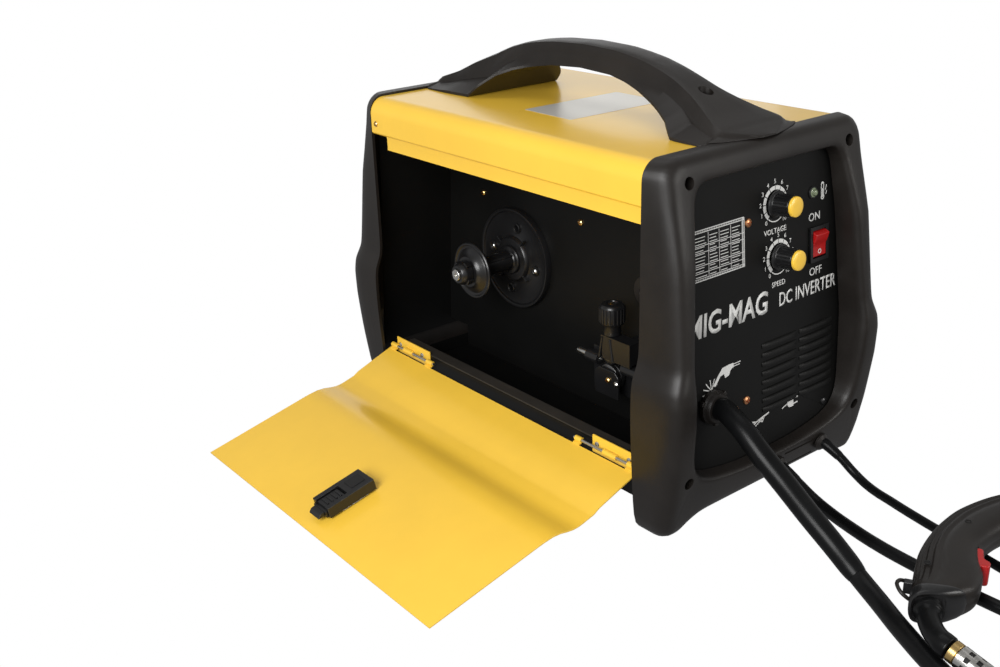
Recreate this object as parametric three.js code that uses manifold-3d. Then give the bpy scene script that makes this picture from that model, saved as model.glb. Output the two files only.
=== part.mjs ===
// A portable MIG welding machine, in millimetres, +Z up.
// The front panel faces -Y, the wire compartment and its drop-down door are on the -X side.
// The machine is drawn about its own middle plane x = 0 and stands on z = 0. The whole group is then
// shifted so that the origin is the middle of the footprint of machine and torch, on the floor, with the
// leads and what hangs on them left out.
import * as THREE from "three";
import { mergeVertices } from "three/addons/utils/BufferGeometryUtils.js";
import Module from "manifold-3d";

const wasm = await Module();
wasm.setup();

// ---------------------------------------------------------------- driving dimensions
const GAP = 0.3; // clearance that touching pieces keep
const SHEET = 1.6; // sheet metal thickness
const BODY = {
  front: -174, // rear edge of the front bezel
  rear: 206, // front edge of the rear bezel
  middle: 16, // the plane that the two bezels mirror about
  half: 127.5, // half width of the sheet metal casing
  flare: 136.5, // half width at the flare above the lower third
  top: 320.5,
  bottom: 24,
  corner: 16, // radius of the top corners
};
const BEZEL = { half: 128, flare: 137, foot: 131, top: 323, wall: 3.2, lowest: 0, arch: 12 };
const PANEL = { tilt: 0.079, y: -183, z: 300, half: 113.5, thick: 1.6 }; // the panel leans back going up
const DIVIDER_X = -24;
const HINGE = { x: -125, z: 56, radius: 2.6, pin: 1.3 };
const DOOR_OPEN = THREE.MathUtils.degToRad(103); // the door stands this far open
const SPOOL = { y: 106, z: 153.5, flange: 53 };
const FEEDER = { x: -50, y: -62, z: 95 }; // middle of the groove between the two rolls
const KNOB = { x: 20, upper: 261, lower: 214, length: 19 };
const SWITCH = { x: 78, v: 214 };
const LAMP = { x: 70, v: 261 };
const TORCH_GLAND = { x: -65, v: 104 };
const FAN = { x: 52, z: 165, radius: 42 };
const GAS_INLET = { x: -60, v: 70 };

// ---------------------------------------------------------------- materials
function finish(color, roughness, metalness = 0) {
  return new THREE.MeshStandardMaterial({ color, roughness, metalness });
}
const YELLOW = finish(0xf2c11b, 0.3);
const MOULDED = finish(0x1c1b1a, 0.55);
const BLACK_SHEET = finish(0x141414, 0.6);
const NYLON = finish(0x101010, 0.4);
const CABLE = finish(0x1d1f20, 0.5);
const STEEL = finish(0xa9adb0, 0.3, 1);
const BRASS = finish(0xc9a24b, 0.3, 1);
const RED = finish(0xc01a14, 0.35);
const GREEN = finish(0x1f6b3a, 0.5);
const ALUMINIUM = finish(0xb9bcbe, 0.4, 1);
const COPPER = finish(0xb5683a, 0.35, 1);
const LENS = finish(0xa8d08a, 0.2);

// ---------------------------------------------------------------- solids
// A closed geometry with shared vertices, position only.
function closed(geometry) {
  const bare = geometry.index ? geometry.toNonIndexed() : geometry.clone();
  bare.deleteAttribute("normal");
  bare.deleteAttribute("uv");
  return mergeVertices(bare, 1e-4);
}

function toSolid(geometry) {
  const merged = closed(geometry);
  return new wasm.Manifold(
    new wasm.Mesh({
      numProp: 3,
      vertProperties: merged.attributes.position.array,
      triVerts: new Uint32Array(merged.index.array),
    }),
  );
}

function fromSolid(solid) {
  const mesh = solid.getMesh();
  const geometry = new THREE.BufferGeometry();
  geometry.setAttribute("position", new THREE.BufferAttribute(mesh.vertProperties, 3));
  geometry.setIndex(new THREE.BufferAttribute(mesh.triVerts, 1));
  return geometry;
}

function join(...pieces) {
  return fromSolid(pieces.map(toSolid).reduce((all, next) => all.add(next)));
}

function cut(body, ...tools) {
  return fromSolid(tools.map(toSolid).reduce((left, tool) => left.subtract(tool), toSolid(body)));
}

function box(x0, x1, y0, y1, z0, z1) {
  const geometry = new THREE.BoxGeometry(x1 - x0, y1 - y0, z1 - z0);
  return geometry.translate((x0 + x1) / 2, (y0 + y1) / 2, (z0 + z1) / 2);
}

// Points an object's local +Z along an axis.
const TURN = {
  x: (g) => g.rotateY(Math.PI / 2),
  y: (g) => g.rotateX(-Math.PI / 2),
  z: (g) => g,
};

// Turns a closed geometry's faces outwards, whichever way it was drawn.
function outward(geometry) {
  if (toSolid(geometry).volume() >= 0) return geometry;
  const index = Array.from(geometry.index.array);
  for (let i = 0; i < index.length; i += 3) [index[i], index[i + 1]] = [index[i + 1], index[i]];
  geometry.setIndex(index);
  return geometry;
}

// A solid of revolution about an axis: profile holds [radius, distance along the axis].
function turned(axis, profile, at = [0, 0, 0], sides = 18) {
  const points = profile.map(([r, h]) => new THREE.Vector2(r, h));
  const geometry = new THREE.LatheGeometry(points, sides).rotateX(Math.PI / 2);
  return outward(TURN[axis](geometry).translate(...at));
}

function rod(axis, radius, from, to, at = [0, 0, 0], sides = 16) {
  return turned(axis, [[0, from], [radius, from], [radius, to], [0, to]], at, sides);
}

function sleeve(axis, inner, outer, from, to, at = [0, 0, 0], sides = 18) {
  const profile = [[inner, from], [outer, from], [outer, to], [inner, to], [inner, from]];
  return turned(axis, profile, at, sides);
}

// An outline in X and Z, extruded from y0 to y1.
function prismY(outline, y0, y1) {
  const shape = new THREE.Shape(outline.map(([x, z]) => new THREE.Vector2(x, z)));
  const geometry = new THREE.ExtrudeGeometry(shape, { depth: y1 - y0, bevelEnabled: false });
  return geometry.rotateX(Math.PI / 2).translate(0, y1, 0);
}

// An outline in Y and Z, extruded from x0 to x1.
function prismX(outline, x0, x1) {
  const shape = new THREE.Shape(outline.map(([y, z]) => new THREE.Vector2(y, z)));
  const geometry = new THREE.ExtrudeGeometry(shape, { depth: x1 - x0, bevelEnabled: false });
  return geometry.rotateX(Math.PI / 2).rotateZ(Math.PI / 2).translate(x0, 0, 0);
}

// A round bar along a smooth curve through points.
function bar(points, radius, sides = 10, stepLength = radius * 5) {
  const stations = points.map((p) => new THREE.Vector3(...p));
  const curve = new THREE.CatmullRomCurve3(stations, false, "centripetal");
  const ring = Array.from({ length: sides }, (_, i) => {
    const angle = (i / sides) * 2 * Math.PI;
    return new THREE.Vector2(radius * Math.cos(angle), radius * Math.sin(angle));
  });
  const steps = Math.max(2, Math.round(curve.getLength() / stepLength));
  const section = new THREE.Shape(ring);
  return new THREE.ExtrudeGeometry(section, { steps, extrudePath: curve, bevelEnabled: false });
}

// A skin through rings of equal point counts. When "ringed", the last ring joins the first;
// otherwise each end is closed by a flat cap.
function loft(rings, ringed = false) {
  const count = rings[0].length;
  const positions = rings.flat(2);
  const index = [];
  const last = ringed ? rings.length : rings.length - 1;
  for (let j = 0; j < last; j++) {
    const next = (j + 1) % rings.length;
    for (let i = 0; i < count; i++) {
      const k = (i + 1) % count;
      index.push(j * count + i, j * count + k, next * count + k);
      index.push(j * count + i, next * count + k, next * count + i);
    }
  }
  if (!ringed) {
    for (const [j, flip] of [[0, true], [rings.length - 1, false]]) {
      const flat = rings[j].map(([x, , z]) => new THREE.Vector2(x, z));
      for (const [a, b, c] of THREE.ShapeUtils.triangulateShape(flat, [])) {
        const face = [a, b, c].map((i) => i + j * count);
        if (flip) face.reverse();
        index.push(...face);
      }
    }
  }
  const geometry = new THREE.BufferGeometry();
  geometry.setAttribute("position", new THREE.Float32BufferAttribute(positions, 3));
  geometry.setIndex(index);
  return outward(geometry);
}

// The value of a function given at a few [input, output] stations, straight between them.
function between(stations, at) {
  const last = stations.length - 1;
  if (at <= stations[0][0]) return stations[0][1];
  if (at >= stations[last][0]) return stations[last][1];
  const i = stations.findIndex(([input]) => input > at) - 1;
  const t = (at - stations[i][0]) / (stations[i + 1][0] - stations[i][0]);
  return stations[i][1] + (stations[i + 1][1] - stations[i][1]) * t;
}

const part = new THREE.Group();
const machine = new THREE.Group();
const torch = new THREE.Group();
const cords = new THREE.Group();
part.add(machine, torch, cords);

function add(name, geometry, material, parent = machine) {
  const mesh = new THREE.Mesh(geometry, material);
  mesh.name = name;
  parent.add(mesh);
  return mesh;
}

// ---------------------------------------------------------------- bezels
// Right half of the bezel's outline, from the bottom middle up to the top middle.
function bezelHalf(inset) {
  const { half, flare, foot, top, arch, lowest } = BEZEL;
  const radius = 17 - inset * 0.5;
  const points = [
    [45, arch + inset],
    [86, arch + inset],
    [100, 7 + inset],
    [106 + inset, lowest + inset],
    [foot - inset, lowest + inset],
    [flare - 1.5 - inset, 70],
    [flare - inset, 105],
    [flare - inset, 130],
    [flare - 1.5 - inset, 143],
    [half + 1.5 - inset, 156],
    [half - inset, 168],
    [half - inset, 240],
  ];
  for (let i = 0; i <= 4; i++) {
    const angle = (i / 4) * (Math.PI / 2);
    const x = half - inset - radius + radius * Math.cos(angle);
    const z = top - inset - radius + radius * Math.sin(angle);
    points.push([x, z]);
  }
  points.push([60, top - inset]);
  return points;
}

// Right half of the edge of the recess in the bezel's face, point for point with bezelHalf.
function recessHalf(grow) {
  const points = [
    [38, 44],
    [60, 46.5],
    [80, 50],
    [94, 56],
    [102, 65],
    [106, 78],
    [107.5, 100],
    [109, 130],
    [109.5, 143],
    [109, 156],
    [107.5, 168],
    [102, 240],
    [94, 285],
    [92, 292],
    [88, 297],
    [83, 300],
    [76, 301],
    [50, 301],
  ];
  return points.map(([x, z]) => [x + grow, z > 150 ? z + grow : z - grow * 0.6]);
}

function mirroredOutline(half) {
  const left = half.map(([x, z]) => [-x, z]).reverse();
  return [...half, ...left];
}

// How far the bezel's face stands in front of its rear edge, at a height.
const FACE_DEPTH = [
  [0, 33], [30, 40], [60, 45], [105, 50], [130, 51],
  [142, 50], [160, 46.5], [240, 37.5], [290, 26], [323, 20],
];
// The share of their width that the bezel's sides lean in by towards the top of its face.
const SIDE_LEAN = [[190, 0], [BEZEL.top, 0.075]];

function bezelRing(half, share) {
  return mirroredOutline(half).map(([x, z]) => [x, BODY.front - between(FACE_DEPTH, z) * share, z]);
}

function outerRing(inset, share) {
  const leaning = bezelHalf(inset).map(([x, z]) => [x * (1 - share * between(SIDE_LEAN, z)), z]);
  return bezelRing(leaning, share);
}

// Recess walls end on the tilted panel plane.
function panelY(z, offset = 0) {
  return PANEL.y - PANEL.tilt * (PANEL.z - z) + offset;
}

function bezelBody() {
  const wall = BEZEL.wall;
  const behindPanel = mirroredOutline(recessHalf(1)).map(([x, z]) => [x, panelY(z, 0.4), z]);
  const rings = [
    outerRing(wall, 0),
    outerRing(0, 0),
    outerRing(0, 0.55),
    outerRing(1.5, 0.84),
    outerRing(5, 0.97),
    outerRing(11, 1),
    bezelRing(recessHalf(5), 1),
    bezelRing(recessHalf(1.5), 0.97),
    mirroredOutline(recessHalf(-1)).map(([x, z]) => [x, panelY(z, -0.4), z]),
    behindPanel,
    mirroredOutline(recessHalf(4)).map(([x, z]) => [x, panelY(z, 0.4), z]),
    outerRing(wall + 9, 0.78),
    outerRing(wall, 0.6),
  ];
  return loft(rings, true);
}

const SCREW_SEATS = [
  [-100, 304], [100, 304], [-112, 56], [112, 56],
];

// Where the work lead and the mains lead leave through the chin of the front bezel, leaning downwards.
const CHIN = {
  work: { x: 8, z: 27, hole: 8, lead: 5.25, lean: 0.2 },
  mains: { x: 68, z: 31, hole: 6.5, lead: 4, lean: 0.14 },
};

// Places a shape drawn about the -Y axis at a cable hole, with y = 0 on the bezel's face.
function throughChin(geometry, { x, z, lean }) {
  return geometry.rotateX(lean).translate(x, BODY.front - between(FACE_DEPTH, z), z);
}

function panelClearance() {
  const low = 41.5 - PANEL.z;
  const high = 303.6 - PANEL.z;
  const room = box(-PANEL.half - 0.4, PANEL.half + 0.4, 0.45, 4, low, high);
  return room.rotateX(-Math.atan(PANEL.tilt)).translate(0, PANEL.y, PANEL.z);
}

function bezel(withCableHoles) {
  const seats = SCREW_SEATS.map(([x, z]) => {
    const face = BODY.front - between(FACE_DEPTH, z);
    return rod("y", 4.2, -12, 6, [x, face + 6, z], 14);
  });
  const leads = withCableHoles ? [CHIN.work, CHIN.mains] : [];
  const holes = leads.map((place) => throughChin(rod("y", place.hole, -9, 14), place));
  return cut(bezelBody(), panelClearance(), ...seats, ...holes);
}

add("front_bezel", bezel(true), MOULDED);
const rearBezel = add("rear_bezel", bezel(false).rotateZ(Math.PI), MOULDED);
rearBezel.position.set(0, 2 * BODY.middle, 0);

// ---------------------------------------------------------------- sheet metal casing
// A bent sheet: the outer path in X and Z, thickened towards its left-hand side.
function sheetOutline(path, thickness = SHEET) {
  const inner = path.map(([x, z], i) => {
    const [px, pz] = path[Math.max(i - 1, 0)];
    const [nx, nz] = path[Math.min(i + 1, path.length - 1)];
    const before = new THREE.Vector2(x - px, z - pz).normalize();
    const after = new THREE.Vector2(nx - x, nz - z).normalize();
    const along = before.clone().add(after).normalize();
    const half = Math.max(0.35, i > 0 && i < path.length - 1 ? along.dot(after) : 1);
    return [x - (along.y * thickness) / half, z + (along.x * thickness) / half];
  });
  return [...path, ...inner.reverse()];
}

// The side wall below the top corner, from the top down: straight, flare, taper.
const SIDE_WALL = [
  [BODY.half, 168],
  [BODY.half + 0.8, 154],
  [BODY.flare - 3, 141],
  [BODY.flare, 129],
  [BODY.flare - 0.6, 112],
];

function coverPath() {
  const { half, top, corner } = BODY;
  const lip = [[-half + 2, 271.5], [-half + 2, 284], [-half, 286.5]];
  const points = [...lip];
  for (let i = 0; i <= 5; i++) {
    const angle = Math.PI - (i / 5) * (Math.PI / 2);
    points.push([-half + corner + corner * Math.cos(angle), top - corner + corner * Math.sin(angle)]);
  }
  for (let i = 0; i <= 5; i++) {
    const angle = Math.PI / 2 - (i / 5) * (Math.PI / 2);
    points.push([half - corner + corner * Math.cos(angle), top - corner + corner * Math.sin(angle)]);
  }
  return [...points, ...SIDE_WALL, [BODY.flare - 9.5, 32]].reverse();
}

const SHEET_FRONT = BODY.front + GAP;
const SHEET_REAR = BODY.rear - GAP;

const coverNotch = box(-130, -120, 182, BODY.rear, 268, 285.2);
add("top_cover", cut(prismY(sheetOutline(coverPath()), SHEET_FRONT, SHEET_REAR), coverNotch), YELLOW);

const BASE = { left: -120, right: 124, front: -170, rear: 202, sill: 60, rim: 50 };
add(
  "base_pan",
  join(
    box(BASE.left, BASE.right, BASE.front, BASE.rear, BODY.bottom, BODY.bottom + SHEET),
    box(BASE.left, BASE.left + SHEET, BASE.front, BASE.rear, BODY.bottom, BASE.sill),
    box(BASE.left, BASE.left + 7, BASE.front, BASE.rear, BASE.sill - SHEET, BASE.sill),
    box(BASE.right - SHEET, BASE.right, BASE.front, BASE.rear, BODY.bottom, BASE.rim),
    box(BASE.left, BASE.right, BASE.front, BASE.front + SHEET, BODY.bottom, 40),
    box(BASE.left, BASE.right, BASE.rear - SHEET, BASE.rear, BODY.bottom, 40),
  ),
  BLACK_SHEET,
);

// The divider carries the spool holder and the wire feeder, and reaches both end panels.
const PANEL_BACK = PANEL.thick + 1.4;
function dividerOutline() {
  const low = BODY.bottom + SHEET + GAP;
  const backOf = (y) => 2 * BODY.middle - y;
  const shoulder = 50;
  const head = 299;
  const frontLow = panelY(shoulder, PANEL_BACK);
  const frontHigh = panelY(head, PANEL_BACK);
  return [
    [BASE.front + 2, low],
    [BASE.rear - 2, low],
    [BASE.rear - 2, shoulder],
    [backOf(frontLow), shoulder],
    [backOf(frontHigh), head],
    [frontHigh, head],
    [frontLow, shoulder],
    [BASE.front + 2, shoulder],
  ];
}

const DIVIDER_BACK = DIVIDER_X + SHEET;
const motorHole = rod("x", 8, -10, 10, [DIVIDER_X, FEEDER.y, FEEDER.z - 13]);
const axleHole = rod("x", 4.6, -10, 10, [DIVIDER_X, SPOOL.y, SPOOL.z]);
const grommetHole = rod("x", 12.4, -10, 10, [DIVIDER_X, -82, 166]);
const divider = prismX(dividerOutline(), DIVIDER_X, DIVIDER_BACK);
const dividerFlange = box(DIVIDER_BACK - 0.1, DIVIDER_BACK + 12, BASE.front + 2, BASE.rear - 2, 25.9, 27.5);
add("divider_panel", join(cut(divider, motorHole, axleHole, grommetHole), dividerFlange), BLACK_SHEET);
const grommet = [
  [8, -3.5], [15, -3.5], [15, -0.4], [11.8, -0.4], [11.8, 2.2], [15, 2.2], [15, 5], [8, 5], [8, -3.5],
];
add("cable_grommet", turned("x", grommet, [DIVIDER_X, -82, 166]), MOULDED);

// ---------------------------------------------------------------- end panels
// Panel frame: local X across, local Z up the slope from PANEL.z, local -Y outwards.
function panelFrame(parent) {
  const frame = new THREE.Group();
  frame.position.set(0, PANEL.y, PANEL.z);
  frame.rotation.x = -Math.atan(PANEL.tilt);
  parent.add(frame);
  return frame;
}

const frontFrame = panelFrame(machine);
const rearSide = new THREE.Group();
rearSide.rotation.z = Math.PI;
rearSide.position.y = 2 * BODY.middle;
machine.add(rearSide);
const rearFrame = panelFrame(rearSide);

const onPanel = (x, v, out = 0) => [x, -out, v - PANEL.z];
// The same point in the machine's frame.
function offPanel(x, v, out) {
  const slope = new THREE.Vector3(1, 0, 0);
  const point = new THREE.Vector3(...onPanel(x, v, out)).applyAxisAngle(slope, -Math.atan(PANEL.tilt));
  return [point.x, point.y + PANEL.y, point.z + PANEL.z];
}
const panelBlank = () => box(-PANEL.half, PANEL.half, 0.8, 0.8 + PANEL.thick, 42 - PANEL.z, 303 - PANEL.z);
const panelHole = (radius, x, v) => rod("y", radius, -20, 20, onPanel(x, v), 18);

// Rows of slots under pressed louvres, in two columns.
function louvreSlots() {
  const slots = [];
  for (let row = 0; row < 8; row++) {
    for (const column of [0, 1]) {
      const v = 138 - row * 8.5;
      const x = 2 + column * 51;
      slots.push(box(x, x + 45, -20, 20, v - 1.5 - PANEL.z, v + 1.5 - PANEL.z));
    }
  }
  return slots;
}

add(
  "front_panel",
  cut(
    panelBlank(),
    ...louvreSlots(),
    panelHole(3.6, KNOB.x, KNOB.upper),
    panelHole(3.6, KNOB.x + 4, KNOB.lower),
    panelHole(3.1, LAMP.x, LAMP.v),
    panelHole(11.3, TORCH_GLAND.x, TORCH_GLAND.v),
    box(SWITCH.x - 11, SWITCH.x + 11, -20, 20, SWITCH.v - 14 - PANEL.z, SWITCH.v + 14 - PANEL.z),
  ),
  BLACK_SHEET,
  frontFrame,
);

// Concentric guard of the fan opening: three rings of slots between the spokes.
function fanSlots() {
  const slots = [];
  for (let ring = 0; ring < 3; ring++) {
    for (let i = 0; i < 4; i++) {
      const inner = 10 + ring * 11;
      const shape = new THREE.Shape();
      const start = (i * Math.PI) / 2 + 0.2;
      const end = ((i + 1) * Math.PI) / 2 - 0.2;
      shape.absarc(0, 0, inner + 7.5, start, end, false);
      shape.absarc(0, 0, inner, end, start, true);
      const slot = new THREE.ExtrudeGeometry(shape, { depth: 40, bevelEnabled: false, curveSegments: 3 });
      slots.push(slot.rotateX(Math.PI / 2).translate(...onPanel(-FAN.x, FAN.z, -20)));
    }
  }
  return slots;
}

const inletHole = panelHole(6.4, GAS_INLET.x, GAS_INLET.v);
add("rear_panel", cut(panelBlank(), ...fanSlots(), inletHole), BLACK_SHEET, rearFrame);
const inletProfile = [
  [2.5, -17], [6, -17], [6, 0], [9.5, 0], [9.5, 5], [4.6, 5], [4, 9],
  [5, 11], [4, 15], [5, 17], [4, 23], [2.5, 23], [2.5, -17],
];
const outwards = (geometry, x, v) => geometry.rotateX(Math.PI).translate(...onPanel(x, v));
add("gas_inlet", outwards(turned("y", inletProfile), GAS_INLET.x, GAS_INLET.v), BRASS, rearFrame);

// ---------------------------------------------------------------- front controls
for (const [name, x, v] of [["voltage", KNOB.x, KNOB.upper], ["speed", KNOB.x + 4, KNOB.lower]]) {
  const knobBody = [
    [0, -14], [8.5, -14], [8.5, -3], [3.2, -3], [3.2, 0.6], [11.6, 0.6], [11.6, 2.6], [10.2, 3.6],
    [9.2, KNOB.length], [0, KNOB.length],
  ];
  add(name + "_knob", outwards(turned("y", knobBody, [0, 0, 0], 22), x, v), NYLON, frontFrame);
  const capFrom = KNOB.length + GAP;
  const cap = [[0, capFrom], [8.8, capFrom], [8.8, capFrom + 2], [7.8, capFrom + 2.9], [0, capFrom + 3.3]];
  add(name + "_knob_cap", outwards(turned("y", cap, [0, 0, 0], 22), x, v), YELLOW, frontFrame);
}

const lampProfile = [
  [0, -12], [2.8, -12], [2.8, -0.4], [4.2, -0.4], [4.2, 1], [2.6, 1.2], [2.2, 3], [0, 3.9],
];
add("warning_lamp", outwards(turned("y", lampProfile, [0, 0, 0], 16), LAMP.x, LAMP.v), LENS, frontFrame);

const switchAt = (geometry) => geometry.translate(...onPanel(SWITCH.x, SWITCH.v));
const switchWell = box(-9.4, 9.4, -10, 11, -12.6, 12.6);
const switchShell = join(box(-12.5, 12.5, -1.6, 0.5, -16, 16), box(-10.6, 10.6, 0, 18, -13.6, 13.6));
add("switch_housing", switchAt(cut(switchShell, switchWell)), NYLON, frontFrame);
const rockerOutline = [
  [5, -11.5], [5, 11.5], [1, 12], [-2, 11.2], [-5.2, 9.2],
  [-3.4, 3], [-1.6, 0], [-1.2, -5], [-1.2, -11.2], [1, -12],
];
add("power_rocker", switchAt(prismX(rockerOutline, -9, 9)), RED, frontFrame);

const glandProfile = [
  [8.2, -10], [10.8, -10], [10.8, -0.3], [15, -0.3], [15, 4], [13.4, 6], [12.6, 9], [8.2, 9], [8.2, -10],
];
add("torch_gland", outwards(turned("y", glandProfile), TORCH_GLAND.x, TORCH_GLAND.v), MOULDED, frontFrame);

// ---------------------------------------------------------------- carry handle
// Each station: distance from the middle, height of the crown, half width of the crown, half width of
// the lower edge, height of the lower edge. The flared feet stand on the roof and on the bezels.
const ROOF_LEVEL = BODY.top + GAP;
const RIM_LEVEL = BEZEL.top + GAP;
const ARCH = [
  [0, 379, 12, 17, 357],
  [40, 377.5, 12, 17.5, 355],
];
const TOE = [
  [170, 337, 30, 60, ROOF_LEVEL],
  [187.5, 330.8, 38, 59.5, ROOF_LEVEL],
  [189.8, 330, 38, 59, RIM_LEVEL],
  [197, 327.6, 27, 42, RIM_LEVEL],
  [203, 325.8, 14, 24, RIM_LEVEL],
  [208, 324.8, 4, 8, RIM_LEVEL],
];
const FRONT_LEG = [
  [60, 375, 12, 18.5, 351],
  [80, 371.5, 12.5, 23, 346.5],
  [100, 366, 13, 30, 341.5],
  [118, 359.5, 14, 38, 337],
  [137, 351, 17, 48, 331],
  [149, 346, 21, 57, 323.6],
  [152, 344.8, 22, 58.5, ROOF_LEVEL],
];
const REAR_LEG = [
  [60, 375.5, 12, 18, 352],
  [72, 373.8, 12, 22, 350],
  [84, 371.5, 12.5, 30, 347],
  [95, 368.5, 13, 40, 342],
  [102, 366.5, 14, 50, 336],
  [110, 363.5, 15, 56, 329],
  [118, 360, 17, 58, 322],
  [120, 359, 17.5, 58.5, ROOF_LEVEL],
  [150, 347, 25, 60, ROOF_LEVEL],
];

function handleSection([distance, top, crown, spread, low], side) {
  const y = BODY.middle + side * distance;
  const rise = top - low;
  const waist = crown + 3 + (spread - crown - 3) * 0.22;
  const right = [
    [spread, low],
    [spread - 0.8, low + rise * 0.12],
    [waist, low + rise * 0.5],
    [crown + 2.5, top - rise * 0.12],
    [crown, top],
  ];
  const left = right.map(([x, z]) => [-x, z]).reverse();
  return [...right, ...left].map(([x, z]) => [x, y, z]);
}

function carryHandle() {
  const front = [...ARCH.slice(1), ...FRONT_LEG, ...TOE].reverse();
  const rear = [...ARCH, ...REAR_LEG, ...TOE];
  const body = loft([...front.map((s) => handleSection(s, -1)), ...rear.map((s) => handleSection(s, 1))]);
  const seats = [-1, 1].map((side) => rod("z", 6.5, 336, 390, [0, BODY.middle + side * 138, 0], 18));
  return cut(body, ...seats);
}
add("carry_handle", carryHandle(), MOULDED);

// ---------------------------------------------------------------- side door, closed position first
const DOOR = { front: -172, rear: 202, top: 283, bottomX: -128 };
const doorPath = [
  [DOOR.bottomX, HINGE.z + 4],
  [-BODY.flare, 129],
  [-BODY.flare + 3, 141],
  [-BODY.half - 0.8, 154],
  [-BODY.half, 168],
  [-BODY.half, DOOR.top],
];

const LATCH = { y: 16, low: 212, high: 262 };
const HINGE_SPANS = [
  {
    name: "front", leaf: [-170, -112], pin: [-168, -92], body: [-146, -130],
    door: [[-168, -160], [-102, -94]],
  },
  {
    name: "rear", leaf: [136, 196], pin: [124, 202], body: [162, 178],
    door: [[126, 136], [190, 200]],
  },
];

function sideDoor() {
  const sheet = prismY(sheetOutline(doorPath), DOOR.front, DOOR.rear);
  const knuckles = HINGE_SPANS.flatMap((span) =>
    span.door.flatMap(([from, to]) => [
      sleeve("y", HINGE.pin + GAP, HINGE.radius, from, to, [HINGE.x, 0, HINGE.z], 12),
      box(DOOR.bottomX - 0.1, HINGE.x - 1.5, from, to, HINGE.z + 1, HINGE.z + 4.6),
    ]),
  );
  const window = box(-140, -110, LATCH.y - 10, LATCH.y + 10, LATCH.low + 8, LATCH.low + 36);
  const bore = HINGE_SPANS.flatMap((span) =>
    span.door.map(([from, to]) => rod("y", HINGE.pin + GAP, from - 2, to + 2, [HINGE.x, 0, HINGE.z], 12)),
  );
  return cut(join(sheet, ...knuckles), window, ...bore);
}

// Everything on the door turns with it to the open position.
const door = new THREE.Group();
door.position.set(HINGE.x, 0, HINGE.z);
door.rotation.y = -DOOR_OPEN;
machine.add(door);
const onDoor = (geometry) => geometry.translate(-HINGE.x, 0, -HINGE.z);
add("side_door", onDoor(sideDoor()), YELLOW, door);

const doorInside = -BODY.half + SHEET + GAP;
const latchShell = cut(
  box(doorInside, doorInside + 11, LATCH.y - 13, LATCH.y + 13, LATCH.low, LATCH.high),
  box(doorInside - 1, doorInside + 7.4, LATCH.y - 10.5, LATCH.y + 10.5, LATCH.low + 4, LATCH.high + 1),
);
add("latch_housing", onDoor(latchShell), NYLON, door);
const latchSlide = join(
  box(doorInside + 0.4, doorInside + 7, LATCH.y - 10.1, LATCH.y + 10.1, LATCH.low + 14, LATCH.high + 2),
  box(doorInside + 2.6, doorInside + 6.6, LATCH.y - 8, LATCH.y + 8, LATCH.high + 1.9, LATCH.high + 9),
  box(-BODY.half - 0.4, doorInside + 0.6, LATCH.y - 8.5, LATCH.y + 8.5, LATCH.low + 15, LATCH.low + 34),
);
add("latch_slider", onDoor(latchSlide), NYLON, door);

for (const span of HINGE_SPANS) {
  const [bodyFrom, bodyTo] = span.body;
  const knuckle = rod("y", HINGE.radius, bodyFrom, bodyTo, [HINGE.x, 0, HINGE.z], 12);
  const pin = rod("y", HINGE.pin, span.pin[0], span.pin[1], [HINGE.x, 0, HINGE.z], 12);
  const web = box(HINGE.x + 1.9, BASE.left - GAP, bodyFrom, bodyTo, HINGE.z - 2, HINGE.z + 2);
  const [leafFrom, leafTo] = span.leaf;
  const plate = box(BASE.left - GAP - 1.4, BASE.left - GAP, leafFrom, leafTo, HINGE.z - 8, HINGE.z + 9);
  add("hinge_leaf_" + span.name, join(knuckle, pin, web, plate), YELLOW);
}

// ---------------------------------------------------------------- spool holder
const spoolAt = [DIVIDER_X - GAP, SPOOL.y, SPOOL.z];
const flangeProfile = [
  [4.6, 0], [SPOOL.flange, 0], [SPOOL.flange, -6], [SPOOL.flange - 3, -6.6], [SPOOL.flange - 5, -4],
  [24, -4], [22.5, -8], [20, -9], [12, -9], [4.6, -9], [4.6, 0],
];
const flangeHoles = [0, 1, 2, 3].map((i) => {
  const angle = (i * Math.PI) / 2 + 0.35;
  const y = SPOOL.y + 34 * Math.cos(angle);
  const z = SPOOL.z + 34 * Math.sin(angle);
  return rod("x", 2.6, -10, 2, [spoolAt[0], y, z], 12);
});
add("spool_flange", cut(turned("x", flangeProfile, spoolAt, 32), ...flangeHoles), NYLON);
const axleProfile = [
  [0, 14], [7, 14], [7, 8.2], [4, 8.2], [4, -75], [5.8, -75], [5.8, -80.5], [0, -80.5],
];
add("spool_axle", turned("x", axleProfile, spoolAt, 18), STEEL);
const sleeveProfile = [[4.4, -9.4], [15, -9.4], [15, -12], [10, -13], [10, -54], [4.4, -54], [4.4, -9.4]];
add("spool_sleeve", turned("x", sleeveProfile, spoolAt, 20), NYLON);
const retainerProfile = [
  [4.4, -54.4], [13, -54.4], [22, -55], [28, -57], [29, -59.5], [27.5, -61],
  [22, -60], [15, -64], [13, -66], [4.4, -66], [4.4, -54.4],
];
add("spool_retainer", turned("x", retainerProfile, spoolAt, 24), NYLON);
const capProfile = [
  [4.4, -66.4], [11.5, -66.4], [11.5, -74], [9, -78.5],
  [6.1, -78.5], [6.1, -74.6], [4.4, -74.6], [4.4, -66.4],
];
add("spool_cap", turned("x", capProfile, spoolAt, 16), NYLON);

// ---------------------------------------------------------------- wire feeder
const ROLL = { drive: 13, press: 9, width: 9 };
const driveAxis = [FEEDER.x, FEEDER.y, FEEDER.z - ROLL.drive];
const pressAxis = [FEEDER.x, FEEDER.y, FEEDER.z + 0.8 + ROLL.press];
const ARM_PIVOT = { y: FEEDER.y - 27, z: pressAxis[2] + 3 };
const feederBack = DIVIDER_X - GAP;
const feederFace = FEEDER.x + 7; // the body's face behind the rolls
const wireLine = [FEEDER.x, 0, FEEDER.z];
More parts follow.
